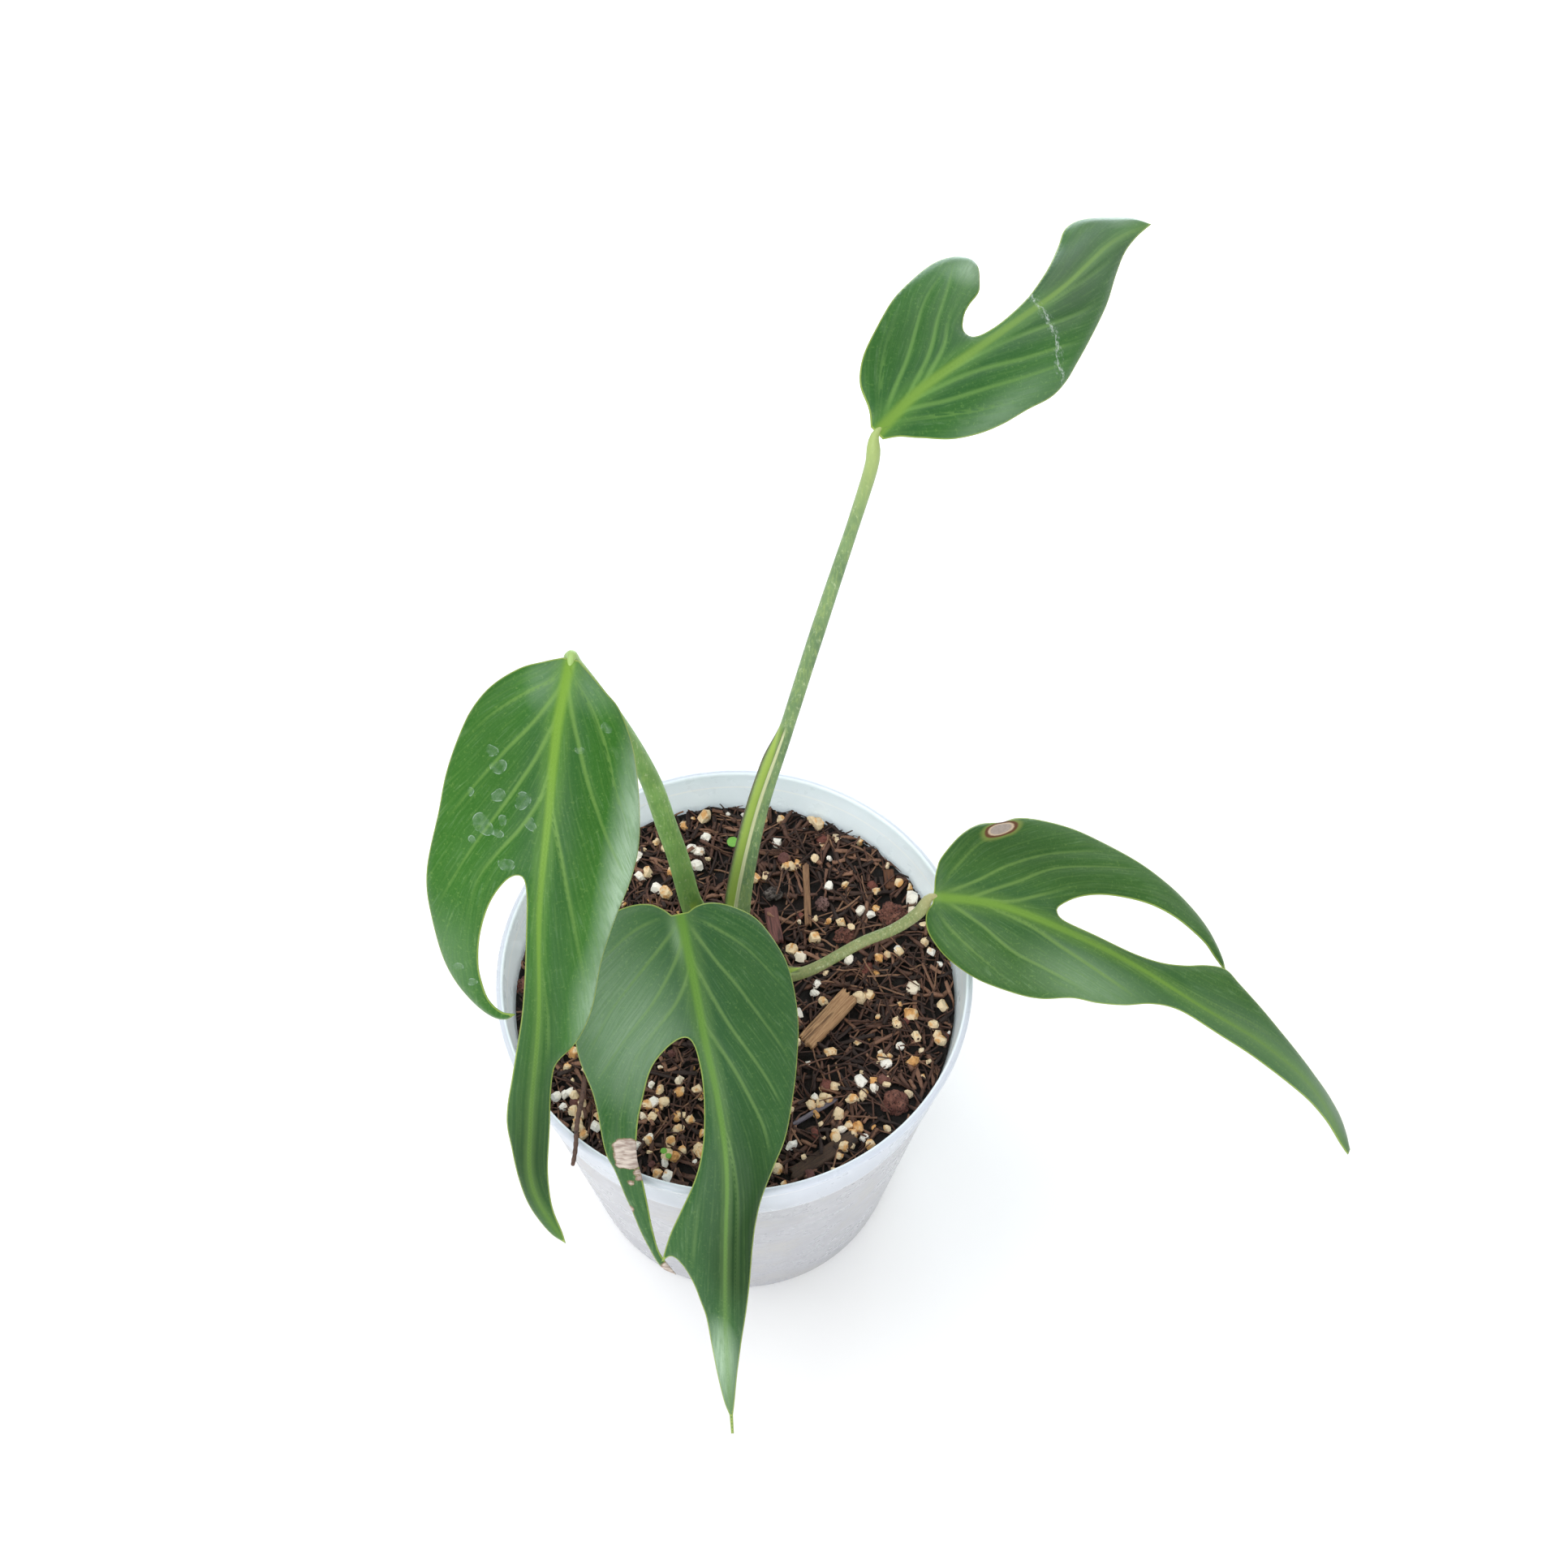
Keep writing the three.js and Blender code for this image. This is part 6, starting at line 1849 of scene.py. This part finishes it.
def make_seedlings():
    points, faces = np.zeros((0, 3)), []
    for x, y, radius in SEEDLINGS:
        ground = soil_height(x, y)
        ball = bmesh.new()
        bmesh.ops.create_icosphere(ball, subdivisions=3, radius=1)
        leaf = [
            (x + v.co.x * radius, y + v.co.y * radius, ground + 3.2 + v.co.z * 0.25 + 0.12 * v.co.x**2)
            for v in ball.verts
        ]
        leaf_faces = [tuple(v.index for v in face.verts) for face in ball.faces]
        ball.free()
        stem_path = [(x + 0.4, y + 0.3, ground - 1), (x + 0.2, y, ground + 1.5), (x, y, ground + 3.1)]
        stem_points, stem_faces, _ = swept(smooth_line(stem_path, 4), 8, thread_radius)
        for part, part_faces in ((leaf, leaf_faces), (stem_points, stem_faces)):
            faces += [tuple(i + len(points) for i in face) for face in part_faces]
            points = np.vstack([points, part])
    return mesh_from("seedlings", points, faces, seedling_finish())


seedlings = make_seedlings()
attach(seedlings, "root")
print("seedlings:", len(SEEDLINGS))

# %% [markdown]
# ## Loose pieces
# A few larger pieces lie where the picture shows them: slivers of wood and bark, porous lava stones,
# and a thin stick that leans out over the rim. Slivers are boxes with ragged ends and split grain.
# Stones are balls pushed in and out by noise. Each replaces its plain solid.


# %% Loose piece shapes
def turned_into_place(points, piece):
    turn, tilt = math.radians(piece["turn"]), math.radians(piece.get("tilt", 0))
    x, y, z = np.array(points).T
    x, z = x * math.cos(tilt) - z * math.sin(tilt), x * math.sin(tilt) + z * math.cos(tilt)
    x, y = x * math.cos(turn) - y * math.sin(turn), x * math.sin(turn) + y * math.cos(turn)
    return np.stack([x, y, z], 1) + piece["at"]


def sliver(piece, seed):
    length, width, thickness = piece["size"]
    steps, across, high = max(8, round(length / 0.7)), max(6, round(width / 0.5)), 4
    random.seed(seed)
    ragged = [random.uniform(-0.06, 0.06) for _ in range(across + 1)]
    points, index, faces = [], {}, []
    for i in range(steps + 1):
        for j in range(across + 1):
            for k in range(high + 1):
                if 0 < i < steps and 0 < j < across and 0 < k < high:
                    continue
                u, v, w = i / steps - 0.5, j / across - 0.5, k / high - 0.5
                end = ragged[j] * (2 * abs(u)) ** 6
                split = noise.noise(Vector((u * length * 0.12, v * width * 1.5, seed))) * 0.35
                round_off = 1 - 0.1 * (2 * abs(v)) ** 6 - 0.1 * (2 * abs(w)) ** 6
                index[i, j, k] = len(points)
                points.append(
                    (
                        u * length * (1 - 0.02 * (2 * abs(w)) ** 4) + end * length * 0.5,
                        v * width * (1 - 0.06 * (2 * abs(u)) ** 8) * round_off + split * 0.3,
                        w * thickness * round_off + split * (0.5 + w),
                    )
                )

    def quad(a, b, c, d):
        faces.append(tuple(index[key] for key in (a, b, c, d)))

    for i in range(steps):
        for j in range(across):
            quad((i, j, high), (i + 1, j, high), (i + 1, j + 1, high), (i, j + 1, high))
            quad((i, j, 0), (i, j + 1, 0), (i + 1, j + 1, 0), (i + 1, j, 0))
        for k in range(high):
            quad((i, 0, k), (i + 1, 0, k), (i + 1, 0, k + 1), (i, 0, k + 1))
            quad((i, across, k), (i, across, k + 1), (i + 1, across, k + 1), (i + 1, across, k))
    for j in range(across):
        for k in range(high):
            quad((0, j, k), (0, j, k + 1), (0, j + 1, k + 1), (0, j + 1, k))
            quad((steps, j, k), (steps, j + 1, k), (steps, j + 1, k + 1), (steps, j, k + 1))
    return turned_into_place(points, piece), faces


def stone(piece, seed):
    ball = bmesh.new()
    bmesh.ops.create_icosphere(ball, subdivisions=5, radius=1)
    points = []
    for vertex in ball.verts:
        way = vertex.co.normalized()
        lump = 0.92 + 0.36 * noise.noise(way * 1.7 + Vector((seed, 0, 0)))
        pits = min(0, noise.noise(way * 5 + Vector((seed, 4, 0)))) * 0.32
        pores = min(0, noise.noise(way * 12 + Vector((seed, 8, 0))) + 0.1) * 0.24
        pits = min(pits, 0.06 - 0.4 * abs(noise.noise(way * 2.6 + Vector((seed, 12, 0)))))
        points.append([c * r * (lump + pits + pores) for c, r in zip(way, piece["radii"])])
    faces = [tuple(vertex.index for vertex in face.verts) for face in ball.faces]
    ball.free()
    return turned_into_place(points, piece), faces


print("slivers have ragged ends, stones have pits and pores")

# %% [markdown]
# Split wood shows long fibres and dark bands, so its noise is stretched along the piece's own turn.
# Lava is the opposite: round pores with no direction, darkened inside with painted shade, and paler crests
# between them.


# %% Loose piece finishes
WOOD_ROUGH = 0.75


def wood_finish(name, dark, light, crack, turn):
    material, board, place = start_finish(name)
    grain_place = board.stretched(place, (0.08, 1, 1), math.radians(turn))
    grain = board.noise(grain_place, 0.35, detail=4, rough=0.7)
    band = board.noise(grain_place, 1.1, detail=2)
    colour = board.blend(board.ramp(grain, 0.3, 0.7), dark, light)
    colour = board.blend(board.ramp(band, 0.56, 0.68, 0.0, 0.85), colour, crack)
    rough = board.ramp(grain, 0, 1, WOOD_ROUGH - 0.15, WOOD_ROUGH + 0.1)
    end_finish(board, colour, rough, grain, 0.25)
    return material


def stone_finish(name, dark, light, pale):
    material, board, place = start_finish(name)
    pores = board.noise(place, 0.7, detail=4, rough=0.75)
    clouds = board.noise(place, 2.6, detail=3)
    colour = board.blend(board.ramp(clouds, 0.35, 0.65), dark, light)
    # Painted shade: the pores are darkened inside, as a hole in shade would look.
    colour = board.blend(board.ramp(pores, 0.5, 0.4, 0.0, 0.85), colour, "#1f1210")
    colour = board.blend(board.ramp(pores, 0.62, 0.75, 0.0, 0.6), colour, pale)
    end_finish(board, colour, board.ramp(pores, 0, 1, 0.8, 0.98), pores, 0.5)
    return material


red_lava = stone_finish("red_lava", "#6b4037", "#8b5c4e", "#b58d7e")
print("finish:", red_lava.name)

# %% Make the loose pieces
CHIP_FINISHES = {
    "wood_chip": ("tan_wood", ("#946b49", "#c39d74", "#5e422c")),
    "dark_bark": ("dark_bark", ("#33251f", "#56402f", "#1c1411")),
    "red_bark": ("red_bark", ("#5c3532", "#7c4f48", "#3a2220")),
    "pale_stick": ("brown_wood", ("#6d4c35", "#9a7656", "#3f2a1f")),
    "bark_flake": ("brown_wood", ("#4c2d1c", "#6e452b", "#2b1a12")),
    "grey_straw": ("grey_straw", ("#5e5862", "#8b8590", "#36313a")),
}
for seed, (name, piece) in enumerate(CHIPS.items()):
    slot, colours = CHIP_FINISHES[name]
    finish = wood_finish(f"{name}_grain", *colours, piece["turn"])
    made = mesh_from(f"{name}_sliver", *sliver(piece, seed + 3), finish)
    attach(made, "root")
    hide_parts(name)

STONE_FINISHES = {
    "mauve_stone": ("mauve_stone", stone_finish("mauve_rock", "#6f5350", "#8f6f6a", "#bba6a2")),
    "grey_stone": ("grey_stone", stone_finish("grey_rock", "#4d4744", "#78706b", "#a49d97")),
}
for seed, (name, piece) in enumerate(STONES.items()):
    slot, finish = STONE_FINISHES.get(name, ("lava_stone", red_lava))
    made = mesh_from(f"{name}_lump", *stone(piece, seed + 2), finish)
    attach(made, "root")
    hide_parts(name)
print("slivers and stones:", len(CHIPS) + len(STONES))

# %% [markdown]
# ### Rim stick
# A thin, slightly crooked twig rises from the mix and leans out over the rim. It is swept like the
# stalks, with a radius that shrinks towards the tip and swells a little at each knot.

# %% Rim stick
STICK_FROM = (-40.9, -24.5, 104.8)
STICK_TO = (-40.6, -60.4, 130)
STICK_WIDTH = 1.4
STICK_RINGS = 40


def stick_radius(at, length, outward):
    radius = STICK_WIDTH / 2 * (1.1 - 0.3 * at / length) * (1 + 0.12 * math.sin(at * 1.7))
    return np.full(len(outward), radius)


def make_rim_stick():
    line = np.linspace(STICK_FROM, STICK_TO, STICK_RINGS)
    line[:, 0] += 0.25 * np.sin(np.linspace(0, 1, STICK_RINGS) * 9)
    points, faces, run = swept(line, 12, stick_radius)
    print("rim stick", round(run[-1]), "mm long")
    finish = wood_finish("twig_bark", "#4a342b", "#735446", "#2b1d18", 90)
    return mesh_from("rim_stick_twig", points, faces, finish)


stick = make_rim_stick()
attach(stick, "root")
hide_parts("rim_stick")
